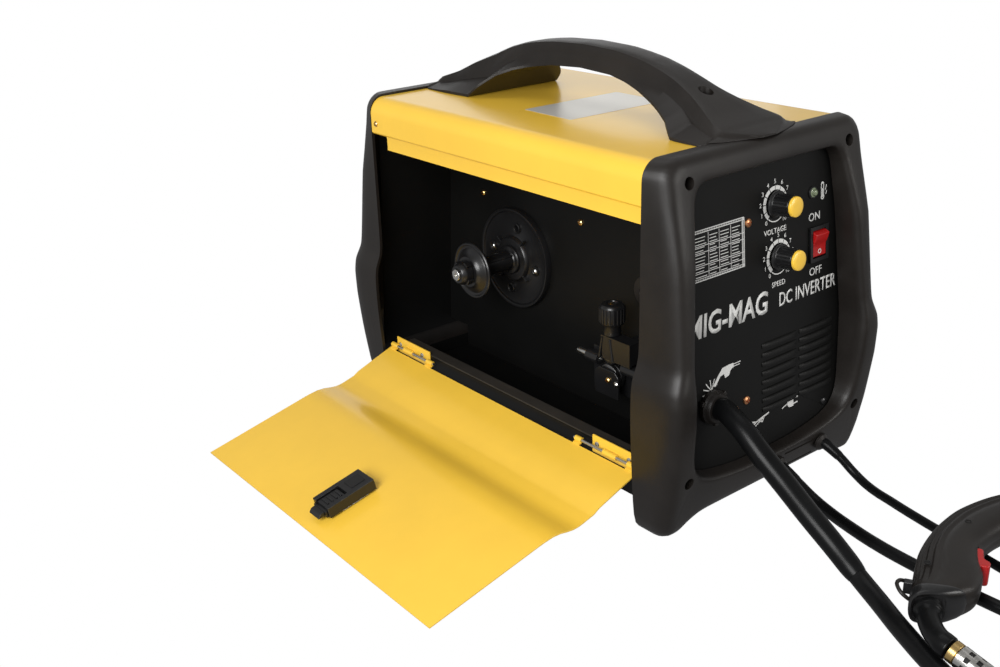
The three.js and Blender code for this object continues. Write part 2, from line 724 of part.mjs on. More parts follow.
// A round carrier for each wire guide, standing off the body on a web.
const guideCarriers = [[FEEDER.y - 36, FEEDER.y - 16], [FEEDER.y + 16, FEEDER.y + 32]].flatMap(([from, to]) => [
  rod("y", 6, from, to, wireLine, 16),
  box(FEEDER.x, feederFace + 0.1, from, to, FEEDER.z - 4, FEEDER.z + 4),
]);
add(
  "feeder_body",
  cut(
    join(
      box(feederFace, feederBack, FEEDER.y - 36, FEEDER.y + 32, FEEDER.z - 32, FEEDER.z + 8),
      box(feederFace, feederBack, FEEDER.y - 36, FEEDER.y - 15, FEEDER.z + 7.9, FEEDER.z + 28),
      ...guideCarriers,
    ),
    rod("x", 6, -60, 60, driveAxis, 16),
    rod("x", 2.6, -60, 60, [FEEDER.x, ARM_PIVOT.y, ARM_PIVOT.z], 14),
    rod("y", 3.5, -60, 60, [FEEDER.x, FEEDER.y, FEEDER.z], 14),
  ),
  NYLON,
);
const rollProfile = (radius, width, grooveDepth) => [
  [0, -width / 2], [radius, -width / 2], [radius, -1],
  [radius - grooveDepth, 0], [radius, 1], [radius, width / 2],
];
const driveShaft = [[5.6, ROLL.width / 2], [5.6, 27.2], [0, 27.2]];
const driveRoll = [...rollProfile(ROLL.drive, ROLL.width, 0.8), ...driveShaft];
add("drive_roll", turned("x", driveRoll, driveAxis, 20), STEEL);
const gearmotorProfile = [[0, 0], [19, 0], [19, 26], [17, 27], [17, 66], [8, 68], [0, 68]];
const motorAt = [DIVIDER_BACK + GAP, FEEDER.y, FEEDER.z - ROLL.drive];
add("feeder_motor", turned("x", gearmotorProfile, motorAt, 20), BLACK_SHEET);
const pressRoll = [
  [2.8, -4.5], [ROLL.press, -4.5], [ROLL.press, 4.5], [2.8, 4.5], [2.8, -4.5],
];
add("pressure_roll", turned("x", pressRoll, pressAxis, 18), STEEL);

// The pressure arm: a fork over the roll, with the roll's axle and the hinge pin in one piece.
const armTop = FEEDER.z + 30;
add(
  "pressure_arm",
  join(
    box(FEEDER.x - 8, FEEDER.x + 6, ARM_PIVOT.y + 4, FEEDER.y + 7, armTop - 5, armTop),
    box(FEEDER.x - 8, FEEDER.x - 5, ARM_PIVOT.y - 4, FEEDER.y + 5, FEEDER.z + 7, armTop - 1),
    box(FEEDER.x - 8, FEEDER.x + 6, ARM_PIVOT.y - 4, ARM_PIVOT.y + 4.1, ARM_PIVOT.z - 4, armTop),
    rod("x", 2.5, -1, 12, pressAxis.map((v, i) => (i ? v : v - 6)), 14),
    rod("x", 2.3, 0, 24, [FEEDER.x, ARM_PIVOT.y, ARM_PIVOT.z], 12),
    rod("z", 2, armTop - 1, armTop + 20, [FEEDER.x, FEEDER.y, 0], 12),
  ),
  NYLON,
);
const knobZ = armTop + GAP;
const tensionProfile = [
  [2.3, 0], [8.5, 0], [8.5, 10], [10, 11], [12, 13.5], [12, 27], [10.5, 30],
  [4, 31], [4, 29.5], [0, 29.5], [0, 21], [2.3, 21], [2.3, 0],
];
add("tension_knob", turned("z", tensionProfile, [FEEDER.x, FEEDER.y, knobZ], 18), NYLON);
add("inlet_guide", sleeve("y", 1, 3.2, FEEDER.y + 16.5, FEEDER.y + 46, wireLine, 14), STEEL);
add("outlet_guide", sleeve("y", 1, 3.2, FEEDER.y - 62, FEEDER.y - 16.5, wireLine, 14), STEEL);

// ---------------------------------------------------------------- power electronics behind the divider
add("control_board", box(-12, -9.4, -60, 120, 200, 290), GREEN);
const finCount = 9;
const fins = Array.from({ length: finCount }, (_, i) => box(14 + i * 8, 17 + i * 8, -40, 90, 33.9, 74));
add("heat_sink", join(box(12, 86, -40, 90, 27, 34), ...fins), ALUMINIUM);
add("transformer", join(box(10, 80, -30, 40, 90, 150), box(27, 63, -44, 54, 105, 135)), COPPER);
const fanCentre = [-FAN.x, 0, FAN.z - PANEL.z];
const fanShell = cut(
  box(-FAN.x - 46, -FAN.x + 46, 3.2, 28, fanCentre[2] - 46, fanCentre[2] + 46),
  rod("y", FAN.radius + 1, 0, 40, fanCentre, 24),
);
const fanStruts = [[44, 3], [3, 44]].map(([wide, tall]) =>
  box(-FAN.x - wide, -FAN.x + wide, 25, 27.6, fanCentre[2] - tall, fanCentre[2] + tall),
);
add("fan_frame", join(fanShell, ...fanStruts), BLACK_SHEET, rearFrame);
function fanRotor() {
  const blades = Array.from({ length: 7 }, (_, i) => {
    const blade = box(14, FAN.radius - 2, -1, 1, -7, 7).rotateX(0.6);
    return blade.rotateY((i / 7) * 2 * Math.PI);
  });
  const hub = rod("y", 16, -8, 8);
  return join(hub, ...blades).translate(-FAN.x, 14.5, fanCentre[2]);
}
add("fan_rotor", fanRotor(), NYLON, rearFrame);

// ---------------------------------------------------------------- welding torch, lying on its side
const TORCH = { z: 25.2, half: 14 };
// Outer and inner edge of the curved handle from its front face to its rear end, seen from above.
const HANDLE_EDGES = [
  [[-87, -409.5], [-66, -428.5]],
  [[-75, -402.5], [-52, -433.5]],
  [[-61, -395], [-38, -435]],
  [[-41, -384.5], [-18, -427]],
  [[-24, -377], [-5, -417]],
  [[0, -370], [11, -407.5]],
  [[24, -366], [28, -405]],
  [[50, -365], [46, -405]],
  [[79, -370], [66, -407.5]],
  [[100, -378], [84, -412]],
  [[122, -391], [103, -421]],
  [[139, -406], [119, -431]],
];

function torchHandle() {
  const sides = 14;
  const softened = (value) => Math.sign(value) * Math.abs(value) ** 0.62;
  return HANDLE_EDGES.map(([outer, inner], j) => {
    const shrink = j === 0 || j === HANDLE_EDGES.length - 1 ? 0.9 : 1;
    return Array.from({ length: sides }, (_, k) => {
      const angle = (k / sides) * 2 * Math.PI;
      const across = 0.5 + 0.5 * softened(Math.cos(angle)) * shrink;
      const up = TORCH.half * softened(Math.sin(angle)) * shrink;
      return [
        inner[0] + (outer[0] - inner[0]) * across,
        inner[1] + (outer[1] - inner[1]) * across,
        TORCH.z + up,
      ];
    });
  });
}

// Closes a skin of rings with a fan of triangles to the middle of each end ring.
function cappedTube(rings) {
  const count = rings[0].length;
  const positions = rings.flat(2);
  const index = [];
  for (let j = 0; j + 1 < rings.length; j++) {
    for (let i = 0; i < count; i++) {
      const k = (i + 1) % count;
      index.push(j * count + i, j * count + k, (j + 1) * count + k);
      index.push(j * count + i, (j + 1) * count + k, (j + 1) * count + i);
    }
  }
  for (const [j, flip] of [[0, true], [rings.length - 1, false]]) {
    const middle = [0, 1, 2].map((axis) => rings[j].reduce((sum, p) => sum + p[axis], 0) / count);
    const hub = positions.length / 3;
    positions.push(...middle);
    for (let i = 0; i < count; i++) {
      const face = [hub, j * count + i, j * count + ((i + 1) % count)];
      if (flip) face.reverse();
      index.push(...face);
    }
  }
  const geometry = new THREE.BufferGeometry();
  geometry.setAttribute("position", new THREE.Float32BufferAttribute(positions, 3));
  geometry.setIndex(index);
  return outward(geometry);
}

const TRIGGER = { x: -1, y: -411, turn: 0.5 };
function atTrigger(geometry) {
  return geometry.rotateZ(TRIGGER.turn).translate(TRIGGER.x, TRIGGER.y, TORCH.z);
}
const triggerPocket = atTrigger(box(-16, 12, -20, 7, -9.5, 9.5));
add("torch_handle", cut(cappedTube(torchHandle()), triggerPocket), MOULDED, torch);
const triggerBody = atTrigger(join(box(-14, 11, -5, 2, -9, 9), box(-14, -3, -10, -4.9, -9, 9)));
add("torch_trigger", triggerBody, RED, torch);

const NECK = { radius: 8, end: [-104.4, -453.5, 24.2], along: [-0.02, -0.975, -0.22] };
const neckLine = [
  [-79.4, -420.8, TORCH.z], [-83, -423, TORCH.z], [-90.5, -428.8, TORCH.z], [-97.5, -436.5, TORCH.z],
  [-102, -443.5, 25.4], [-103.9, -448.5, 25], NECK.end,
];
add("torch_neck", bar(neckLine, NECK.radius, 12, 8), MOULDED, torch);
// Shapes turned about +Z are set along the nozzle, with zero at the neck's end.
function alongNozzle(geometry) {
  const along = new THREE.Vector3(...NECK.along).normalize();
  const turn = new THREE.Quaternion().setFromUnitVectors(new THREE.Vector3(0, 0, 1), along);
  return geometry.applyQuaternion(turn).translate(...NECK.end);
}
add("torch_nozzle_nut", alongNozzle(turned("z", [[0, 1.6], [8.4, 1.6], [8.4, 7], [0, 7]])), BRASS, torch);
const nozzleProfile = [[0, 7.4], [8.7, 7.4], [8.7, 44], [7.6, 56], [6.2, 56], [7, 44], [7, 40], [0, 40]];
add("torch_nozzle", alongNozzle(turned("z", nozzleProfile)), STEEL, torch);
const tipProfile = [[0, 40.4], [3, 40.4], [3, 50], [1.8, 54], [0, 54]];
add("contact_tip", alongNozzle(turned("z", tipProfile, [0, 0, 0], 12)), COPPER, torch);

// ---------------------------------------------------------------- cords
const TORCH_LEAD = { radius: 7.75, coil: [75, -705], middle: 84, columns: 2, layers: 2 };
const WORK_LEAD = { radius: 5.25, coil: [-45, -577], middle: 58, columns: 2, layers: 2 };
const MAINS_LEAD = { radius: 4, coil: [102, -541], middle: 44, columns: 3, layers: 2 };

const FLOOR_LEVEL = 0.6; // a lead on the floor stays this far above it
const torchFloor = TORCH_LEAD.radius + FLOOR_LEVEL;
const torchOut = [
  ...[-9, 0, 9, 15].map((out) => offPanel(TORCH_GLAND.x, TORCH_GLAND.v, out)),
  [-68.5, -236, 97.5], [-69, -256, 83], [-67, -278, 66], [-64, -302, 46], [-63, -328, 28], [-66, -352, 15],
  [-75, -378, 9], [-92, -410, torchFloor], [-111, -450, torchFloor], [-129, -500, torchFloor],
  [-140, -555, torchFloor], [-137, -610, torchFloor], [-116, -662, torchFloor], [-78, -706, torchFloor],
  [-36, -742, torchFloor],
];
add("torch_lead", bar(torchOut, TORCH_LEAD.radius, 9, 26), CABLE, cords);
const torchBack = [
  [177, -656, 16], [181, -620, 10], [183, -582, torchFloor], [182, -540, torchFloor], [177, -500, 9.5],
  [166, -464, 14.5], [149, -437.5, 21], [131, -420.5, TORCH.z],
];
add("torch_lead_return", bar(torchBack, TORCH_LEAD.radius, 9, 26), CABLE, cords);

// Points straight out of a cable hole, at distances from the bezel's face.
function straightOut({ x, z, lean }, distances) {
  const face = BODY.front - between(FACE_DEPTH, z);
  return distances.map((d) => [x, face - d * Math.cos(lean), z - d * Math.sin(lean)]);
}
const workFloor = WORK_LEAD.radius + FLOOR_LEVEL;
const workOut = [
  ...straightOut(CHIN.work, [-10, 0, 9]), [9.5, -235, 18.5], [10.5, -251, 10], [8, -270, workFloor],
  [0, -300, workFloor], [-6, -332, workFloor], [-9, -366, workFloor], [-10.5, -400, workFloor],
  [-11, -430, workFloor], [-9, -460, workFloor], [-2, -492, workFloor], [8, -520, workFloor],
  [11.5, -529, workFloor],
];
add("work_lead", bar(workOut, WORK_LEAD.radius, 8, 20), CABLE, cords);
const mainsFloor = MAINS_LEAD.radius + FLOOR_LEVEL;
const mainsOut = [
  ...straightOut(CHIN.mains, [-9, 0, 9]), [70.5, -236, 22], [73, -250, 11], [70, -268, 5.4],
  [63, -298, mainsFloor], [56, -330, mainsFloor], [49, -368, mainsFloor], [41, -405, mainsFloor],
  [36, -440, mainsFloor], [37, -475, mainsFloor], [41, -500, mainsFloor], [45, -514.5, mainsFloor],
];
add("mains_lead", bar(mainsOut, MAINS_LEAD.radius, 8, 16), CABLE, cords);

// The closed outer shape of a wound coil.
function coilRing({ radius, coil, middle, columns, layers }) {
  const half = radius * columns + 0.6;
  const height = 2 * radius * layers + 0.6;
  const inner = middle - half;
  const outer = middle + half;
  const edge = radius * 0.6;
  const profile = [
    [inner, 0.1 + edge], [inner + edge, 0.1], [outer - edge, 0.1], [outer, 0.1 + edge],
    [outer, height - edge], [outer - edge, height], [inner + edge, height], [inner, height - edge],
    [inner, 0.1 + edge],
  ];
  return turned("z", profile, [...coil, 0], 28);
}
add("torch_lead_coil", coilRing(TORCH_LEAD), CABLE, cords);
add("work_lead_coil", coilRing(WORK_LEAD), CABLE, cords);
add("mains_lead_coil", coilRing(MAINS_LEAD), CABLE, cords);

for (const [name, place] of Object.entries(CHIN)) {
  const { lead, hole } = place;
  const bushing = [
    [lead + GAP, -4], [hole - GAP, -4], [hole - GAP, 0.7], [hole + 2, 0.7], [hole + 2, 3.5],
    [lead + 1.6, 5.5], [lead + 1, 7], [lead + GAP, 7], [lead + GAP, -4],
  ];
  add(name + "_gland", throughChin(turned("y", bushing, [0, 0, 0], 16).rotateX(Math.PI), place), MOULDED);
}

// ---------------------------------------------------------------- work clamp, lying on its coil
const CLAMP = { x: -45, y: -577, low: 22, high: 41 };
const PIVOT_X = CLAMP.x + 12;
function jawPlate(side) {
  const outline = [
    [-75, 24], [-60, 27], [0, 11], [20, 8.6], [50, 13], [70, 10], [74, 0.6],
    [66, 0.6], [50, 6], [22, 2.5], [0, 4.5], [-20, 10], [-60, 20], [-74, 18],
  ];
  const shape = new THREE.Shape(outline.map(([x, y]) => new THREE.Vector2(x, y * side)));
  const depth = CLAMP.high - CLAMP.low;
  const plate = new THREE.ExtrudeGeometry(shape, { depth, bevelEnabled: false });
  return plate.translate(CLAMP.x, CLAMP.y, CLAMP.low);
}
function lug(side, from, to) {
  const reach = side > 0 ? [-4, 9] : [-9, 4];
  return box(PIVOT_X - 7, PIVOT_X + 7, CLAMP.y + reach[0], CLAMP.y + reach[1], from, to);
}
function clampJaw(side, levels, gapLevels) {
  const bore = rod("z", 2.8, 0, 80, [PIVOT_X, CLAMP.y, 0], 14);
  const room = gapLevels.map(([from, to]) =>
    box(PIVOT_X - 9, PIVOT_X + 9, CLAMP.y - 14, CLAMP.y + 14, from, to),
  );
  const plate = cut(jawPlate(side), ...room);
  const jaw = join(plate, ...levels.map(([from, to]) => lug(side, from, to)));
  return side > 0 ? cut(jaw, bore) : jaw;
}
const { low, high } = CLAMP;
const outerLugs = [[low + 0.2, low + 2.8], [high - 2.8, high - 0.2]];
const innerLugs = [[low + 3.5, low + 6], [high - 6, high - 3.5]];
const outerRoom = [[low + 3, high - 3]];
const innerRoom = [[low - 1, low + 3.3], [low + 6.2, high - 6.2], [high - 3.3, high + 1]];
const clampPin = rod("z", 2.5, low - 0.2, high + 1, [PIVOT_X, CLAMP.y, 0], 14);
add("clamp_jaw_fixed", join(clampJaw(-1, outerLugs, outerRoom), clampPin), YELLOW, cords);
add("clamp_jaw_moving", clampJaw(1, innerLugs, innerRoom), YELLOW, cords);
const springFrom = low + 6.5;
const springTo = high - 6.5;
add("clamp_spring", sleeve("z", 3.4, 6, springFrom, springTo, [PIVOT_X, CLAMP.y, 0], 16), STEEL, cords);

// ---------------------------------------------------------------- mains plug, lying on its coil
const PLUG = { x: 102, y: -541, z: 35.2 };
const plugBody = join(
  rod("x", 18, 0, 14, [PLUG.x + 8, PLUG.y, PLUG.z], 18),
  turned("x", [[0, -34], [5.5, -34], [7, -8], [12, 0], [16, 8.2], [0, 8.2]], [PLUG.x, PLUG.y, PLUG.z], 14),
);
const plugPins = [-1, 1].map((side) =>
  rod("x", 2.4, 21, 41, [PLUG.x, PLUG.y + side * 9.5, PLUG.z], 12),
);
add("mains_plug", join(plugBody, ...plugPins), MOULDED, cords);

// ---------------------------------------------------------------- origin
const footprint = new THREE.Box3().setFromObject(machine, true).expandByObject(torch, true);
part.position.set(
  -(footprint.min.x + footprint.max.x) / 2,
  -(footprint.min.y + footprint.max.y) / 2,
  -footprint.min.z,
);

export default part;
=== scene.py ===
import math
import random

import bmesh
import bpy
from mathutils import Matrix, Vector


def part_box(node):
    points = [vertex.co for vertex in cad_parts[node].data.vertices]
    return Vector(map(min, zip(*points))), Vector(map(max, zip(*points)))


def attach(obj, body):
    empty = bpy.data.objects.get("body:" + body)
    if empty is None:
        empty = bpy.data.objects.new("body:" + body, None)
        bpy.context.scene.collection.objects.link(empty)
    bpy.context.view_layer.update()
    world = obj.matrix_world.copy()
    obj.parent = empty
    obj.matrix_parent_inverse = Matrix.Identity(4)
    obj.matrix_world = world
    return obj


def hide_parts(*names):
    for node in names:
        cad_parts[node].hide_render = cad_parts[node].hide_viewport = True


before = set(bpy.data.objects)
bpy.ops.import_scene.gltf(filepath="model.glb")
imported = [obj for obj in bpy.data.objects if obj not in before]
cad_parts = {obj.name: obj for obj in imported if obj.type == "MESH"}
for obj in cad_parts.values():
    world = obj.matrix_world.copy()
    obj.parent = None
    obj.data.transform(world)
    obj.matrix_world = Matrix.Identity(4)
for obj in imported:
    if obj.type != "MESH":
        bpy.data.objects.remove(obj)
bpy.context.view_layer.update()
MM = 0.001
random.seed(7)

# ---------------------------------------------------------------- driving dimensions, millimetres
SHEET = 1.6
GAP = 0.3
BODY = {"front": -174, "rear": 206, "middle": 16, "half": 127.5, "flare": 136.5, "top": 320.5, "corner": 16}
BEZEL = {"half": 128, "flare": 137, "foot": 131, "top": 323, "wall": 3.2, "arch": 12}
PANEL = {"tilt": 0.079, "y": -183, "z": 300}
HINGE = {"x": -125, "z": 56, "radius": 2.6, "pin": 1.3}
DOOR_OPEN = math.radians(103)
DOOR = {"front": -172, "rear": 202, "top": 283}
DIVIDER_X = -24
SPOOL = {"y": 106, "z": 153.5, "flange": 53}
FEEDER = {"x": -50, "y": -62, "z": 95}
KNOB = {"x": 20, "upper": 261, "lower": 214, "length": 19}
SWITCH = {"x": 78, "v": 214}
LAMP = {"x": 70, "v": 261}
TORCH_GLAND = {"x": -65, "v": 104}
LATCH = {"y": 16, "low": 212, "high": 262}
TORCH_Z = 25.2

bezel_low, bezel_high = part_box("front_bezel")
ORIGIN = Vector(((bezel_low.x + bezel_high.x) / 2, bezel_high.y - BODY["front"] * MM, 0))


def at(x, y, z):
    """A point of the drawing, in the row frame."""
    return ORIGIN + Vector((x, y, z)) * MM


# Places, as matrices in drawing millimetres.
UPRIGHT = Matrix.Identity(4)
FRONT = Matrix.Translation((0, PANEL["y"], PANEL["z"])) @ Matrix.Rotation(-math.atan(PANEL["tilt"]), 4, "X")
TURNED = Matrix.Translation((0, 2 * BODY["middle"], 0)) @ Matrix.Rotation(math.pi, 4, "Z")
HINGE_POINT = Vector((HINGE["x"], 0, HINGE["z"]))
LET_DOWN = Matrix.Rotation(-DOOR_OPEN, 4, "Y")
ON_DOOR = Matrix.Translation(HINGE_POINT) @ LET_DOWN @ Matrix.Translation(-HINGE_POINT)
OUTWARDS = Matrix.Rotation(math.pi, 4, "X")
TO_THE_DOOR = Matrix.Rotation(math.radians(-90), 4, "Z")


def on_panel(x, v, out=0.0):
    """A place on an end panel: x across, v up the slope, out from the sheet's reference plane."""
    return Matrix.Translation((x, -out, v - PANEL["z"]))


# ---------------------------------------------------------------- shapes: (points, faces) in millimetres
def ring_angles(sides, start=0.0):
    return [start + 2 * math.pi * i / sides for i in range(sides)]


def smooth(points, steps):
    """A Catmull-Rom line through points, with a number of steps for each stretch."""
    last = len(points) - 1
    result = []
    for i in range(last):
        a, b, c, d = (Vector(points[min(max(i + k, 0), last)]) for k in (-1, 0, 1, 2))
        for step in range(steps):
            t = step / steps
            bend = (2 * a - 5 * b + 4 * c - d) * t**2 + (3 * b - a - 3 * c + d) * t**3
            result.append(tuple(0.5 * (2 * b + (c - a) * t + bend)))
    result.append(tuple(points[-1]))
    return result


def merged(*shapes):
    points, faces = [], []
    for some_points, some_faces in shapes:
        faces += [tuple(i + len(points) for i in face) for face in some_faces]
        points += some_points
    return points, faces


def moved(shape, matrix):
    return [tuple(matrix @ Vector(p)) for p in shape[0]], shape[1]


def loft(rings, ringed=False):
    """A skin through rings of equal point counts, closed by flat ends or, when ringed, on itself."""
    count = len(rings[0])
    points = [tuple(p) for ring in rings for p in ring]
    faces = []
    for j in range(len(rings) if ringed else len(rings) - 1):
        here, there = j * count, (j + 1) % len(rings) * count
        for i in range(count):
            k = (i + 1) % count
            faces.append((here + i, here + k, there + k, there + i))
    if not ringed:
        faces.append(tuple(range(count))[::-1])
        faces.append(tuple(range(len(points) - count, len(points))))
    return points, faces


def block(x0, x1, y0, y1, z0, z1):
    return loft([[(x0, y0, z), (x1, y0, z), (x1, y1, z), (x0, y1, z)] for z in (z0, z1)])


AXES = {
    "x": Matrix.Rotation(math.pi / 2, 4, "Y"),
    "y": Matrix.Rotation(-math.pi / 2, 4, "X"),
    "z": Matrix.Identity(4),
}


def lathe(axis, profile, place=(0, 0, 0), sides=48):
    """A solid of revolution: profile holds (radius, distance along the axis), from axis to axis or closed."""
    closed = profile[0] == profile[-1]
    rows = profile[:-1] if closed else profile
    rings = [[(r * math.cos(a), r * math.sin(a), h) for a in ring_angles(sides)] for r, h in rows]
    points, faces = loft(rings, ringed=closed)
    if not closed:
        faces = faces[:-2]
    return moved((points, faces), Matrix.Translation(place) @ AXES[axis])


def rod(axis, radius, start, end, place=(0, 0, 0), sides=32):
    return lathe(axis, [(0, start), (radius, start), (radius, end), (0, end)], place, sides)


def prism(axis, outline, start, end):
    """An outline across an axis, extruded along it: (x, z) along y, (y, z) along x, (x, y) along z."""
    spread = {
        "x": lambda u, v, w: (w, u, v),
        "y": lambda u, v, w: (u, w, v),
        "z": lambda u, v, w: (u, v, w),
    }[axis]
    return loft([[spread(u, v, w) for u, v in outline] for w in (start, end)])


def tube(points, radius, sides=14, steps=6):
    """A bar along a smooth line; the radius is a number or a function of the share of the way."""
    line = [Vector(p) for p in smooth(points, steps)]
    side = Vector((0.31, 0.17, 1)).cross(line[1] - line[0]).normalized()
    rings = []
    for i, middle in enumerate(line):
        along = (line[min(i + 1, len(line) - 1)] - line[max(i - 1, 0)]).normalized()
        side = (side - along * side.dot(along)).normalized()
        other = along.cross(side)
        size = radius(i / (len(line) - 1)) if callable(radius) else radius
        spokes = [side * math.cos(a) + other * math.sin(a) for a in ring_angles(sides)]
        rings.append([tuple(middle + spoke * size) for spoke in spokes])
    return loft(rings)


def rounded(x0, x1, y0, y1, radius, steps=5):
    """A rectangle's outline with round corners."""
    corners = [(x1, y1, 0), (x0, y1, 1), (x0, y0, 2), (x1, y0, 3)]
    outline = []
    for x, y, quarter in corners:
        cx = x - radius if x == x1 else x + radius
        cy = y - radius if y == y1 else y + radius
        for step in range(steps + 1):
            angle = (quarter + step / steps) * math.pi / 2
            outline.append((cx + radius * math.cos(angle), cy + radius * math.sin(angle)))
    return outline


def between(stations, value):
    """The value of a function given at a few (input, output) stations."""
    if value <= stations[0][0]:
        return stations[0][1]
    for (a, low), (b, high) in zip(stations, stations[1:]):
        if value <= b:
            return low + (high - low) * (value - a) / (b - a)
    return stations[-1][1]


def mesh_of(name, shape, place=UPRIGHT):
    mesh = bpy.data.meshes.new(name)
    points = [at(*(place @ Vector(p))) for p in shape[0]]
    mesh.from_pydata(points, [], shape[1])
    work = bmesh.new()
    work.from_mesh(mesh)
    bmesh.ops.remove_doubles(work, verts=work.verts, dist=2e-6)
    bmesh.ops.recalc_face_normals(work, faces=work.faces)
    work.to_mesh(mesh)
    work.free()
    return mesh


def baked(obj):
    """Turns an object's modifiers into its mesh."""
    graph = bpy.context.evaluated_depsgraph_get()
    mesh = bpy.data.meshes.new_from_object(obj.evaluated_get(graph))
    obj.modifiers.clear()
    obj.data = mesh


def carve(obj, shape, place):
    """Takes a shape out of an object."""
    tool = bpy.data.objects.new("tool", mesh_of("tool", shape, place))
    bpy.context.scene.collection.objects.link(tool)
    modifier = obj.modifiers.new("carve", "BOOLEAN")
    modifier.operation = "DIFFERENCE"
    modifier.object = tool
    modifier.solver = "MANIFOLD"
    baked(obj)
    bpy.data.objects.remove(tool)


def shade(obj, angle=32):
    for polygon in obj.data.polygons:
        polygon.use_smooth = True
        polygon.material_index = 0
    obj.data.set_sharp_from_angle(angle=math.radians(angle))


def soften(obj, width, angle=32):
    """Small rounds on every edge sharper than an angle."""
    modifier = obj.modifiers.new("soften", "BEVEL")
    modifier.width = width * MM
    modifier.segments = 2
    modifier.limit_method = "ANGLE"
    modifier.angle_limit = math.radians(angle)
    modifier.harden_normals = True


def piece(name, shape, material, body="chassis", place=UPRIGHT, hides=(), bevel=0.0, carved=(), angle=32):
    """A detailed piece that rides a body and stands for the CAD nodes that it hides."""
    obj = bpy.data.objects.new(name, mesh_of(name, shape, place))
    bpy.context.scene.collection.objects.link(obj)
    for tool in carved:
        carve(obj, tool, place)
    obj.data.materials.clear()
    obj.data.materials.append(material)
    shade(obj, angle)
    if bevel:
        soften(obj, bevel, angle=angle)
    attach(obj, body)
    if hides:
        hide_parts(*hides)
    return obj


# ---------------------------------------------------------------- materials
def material(
    name, color, rough, metal=0.0, coat=0.0, shine=0.5, grain=0.0, grain_size=900, stain=0.12, stain_size=14
):
    """A surface with uneven colour and gloss and a fine grain, in the object's own coordinates."""
    made = bpy.data.materials.new(name)
    made.use_nodes = True
    nodes, links = made.node_tree.nodes, made.node_tree.links
    surface = nodes["Principled BSDF"]
    surface.inputs["Metallic"].default_value = metal
    surface.inputs["Coat Weight"].default_value = coat
    surface.inputs["Coat Roughness"].default_value = 0.12
    surface.inputs["Specular IOR Level"].default_value = shine
    where = nodes.new("ShaderNodeTexCoord")
    cloud = nodes.new("ShaderNodeTexNoise")
    cloud.inputs["Scale"].default_value = stain_size
    cloud.inputs["Detail"].default_value = 6
    cloud.inputs["Roughness"].default_value = 0.6
    links.new(where.outputs["Object"], cloud.inputs["Vector"])
    tone = nodes.new("ShaderNodeValToRGB")
    tone.color_ramp.elements[0].position = 0.3
    tone.color_ramp.elements[1].position = 0.7
    tone.color_ramp.elements[0].color = (*[c * (1 - stain) for c in color], 1)
    tone.color_ramp.elements[1].color = (*[min(1, c * (1 + stain * 0.6)) for c in color], 1)
    links.new(cloud.outputs["Fac"], tone.inputs["Fac"])
    links.new(tone.outputs["Color"], surface.inputs["Base Color"])
    gloss = nodes.new("ShaderNodeMapRange")
    gloss.inputs["To Min"].default_value = max(0.03, rough * (1 - stain))
    gloss.inputs["To Max"].default_value = min(1, rough * (1 + stain))
    links.new(cloud.outputs["Fac"], gloss.inputs["Value"])
    links.new(gloss.outputs["Result"], surface.inputs["Roughness"])
    if grain:
        fine = nodes.new("ShaderNodeTexNoise")
        fine.inputs["Scale"].default_value = grain_size
        fine.inputs["Detail"].default_value = 3
        links.new(where.outputs["Object"], fine.inputs["Vector"])
        relief = nodes.new("ShaderNodeBump")
        relief.inputs["Strength"].default_value = grain
        relief.inputs["Distance"].default_value = 0.0002
        links.new(fine.outputs["Fac"], relief.inputs["Height"])
        links.new(relief.outputs["Normal"], surface.inputs["Normal"])
    return made


YELLOW = material("yellow_paint", (0.9, 0.56, 0.055), 0.3, coat=0.3, grain=0.08, grain_size=420, stain=0.04)
MOULDED = material(
    "moulded_black", (0.0125, 0.0103, 0.0088), 0.4,
    shine=0.34, grain=0.3, grain_size=2600, stain=0.3, stain_size=18,
)
BLACK_SHEET = material(
    "black_sheet", (0.0048, 0.0048, 0.0046), 0.42, shine=0.16, grain=0.15, grain_size=1500, stain=0.15
)
NYLON = material("black_nylon", (0.008, 0.008, 0.0085), 0.3, grain=0.1, grain_size=1800, stain=0.2)
RUBBER = material(
    "cable_jacket", (0.0045, 0.0047, 0.005), 0.3,
    shine=0.16, grain=0.08, grain_size=1200, stain=0.25, stain_size=30,
)
STEEL = material("steel", (0.62, 0.62, 0.6), 0.28, metal=1, grain=0.15, stain=0.2, stain_size=60)
GUNMETAL = material("dark_steel", (0.2, 0.2, 0.2), 0.35, metal=1, grain=0.15, stain=0.2, stain_size=60)
CHROME = material("chrome_nozzle", (0.72, 0.71, 0.68), 0.2, metal=1, grain=0.1, stain=0.2, stain_size=70)
BRASS = material("brass", (0.72, 0.5, 0.2), 0.28, metal=1, grain=0.1, stain=0.2, stain_size=60)
RED = material("red_plastic", (0.42, 0.008, 0.008), 0.3, coat=0.2, grain=0.05, stain=0.1)
BOARD = material("circuit_board", (0.02, 0.16, 0.06), 0.45, grain=0.3, grain_size=500, stain=0.2)
ALUMINIUM = material("aluminium", (0.66, 0.67, 0.68), 0.4, metal=1, grain=0.3, stain=0.15, stain_size=40)
COPPER = material("copper", (0.7, 0.33, 0.16), 0.35, metal=1, grain=0.2, stain=0.25, stain_size=60)
LENS = material("lamp_lens", (0.3, 0.36, 0.22), 0.12, coat=0.6, stain=0.2, stain_size=120)
PRINT = material("white_print", (0.72, 0.72, 0.7), 0.5, grain=0.1, stain=0.06, stain_size=90)
# Near-black and rough, darker than any black part: painted shade for deep holes and gaps, laid on the black
# screws, bolts, latch rib and nozzle insulator that sit in them.
BLACK_AND_SHADE = material("black_and_painted_shade", (0.004, 0.004, 0.004), 0.7, grain=0.1, stain=0.1)
LABEL = material("silver_label", (0.78, 0.76, 0.7), 0.34, metal=0.45, grain=0.05, stain=0.05)
SILL = material("sill_strip", (0.035, 0.031, 0.026), 0.36, grain=0.2, grain_size=1200, stain=0.2, stain_size=22)
LENS.node_tree.nodes["Principled BSDF"].inputs["Transmission Weight"].default_value = 0.4

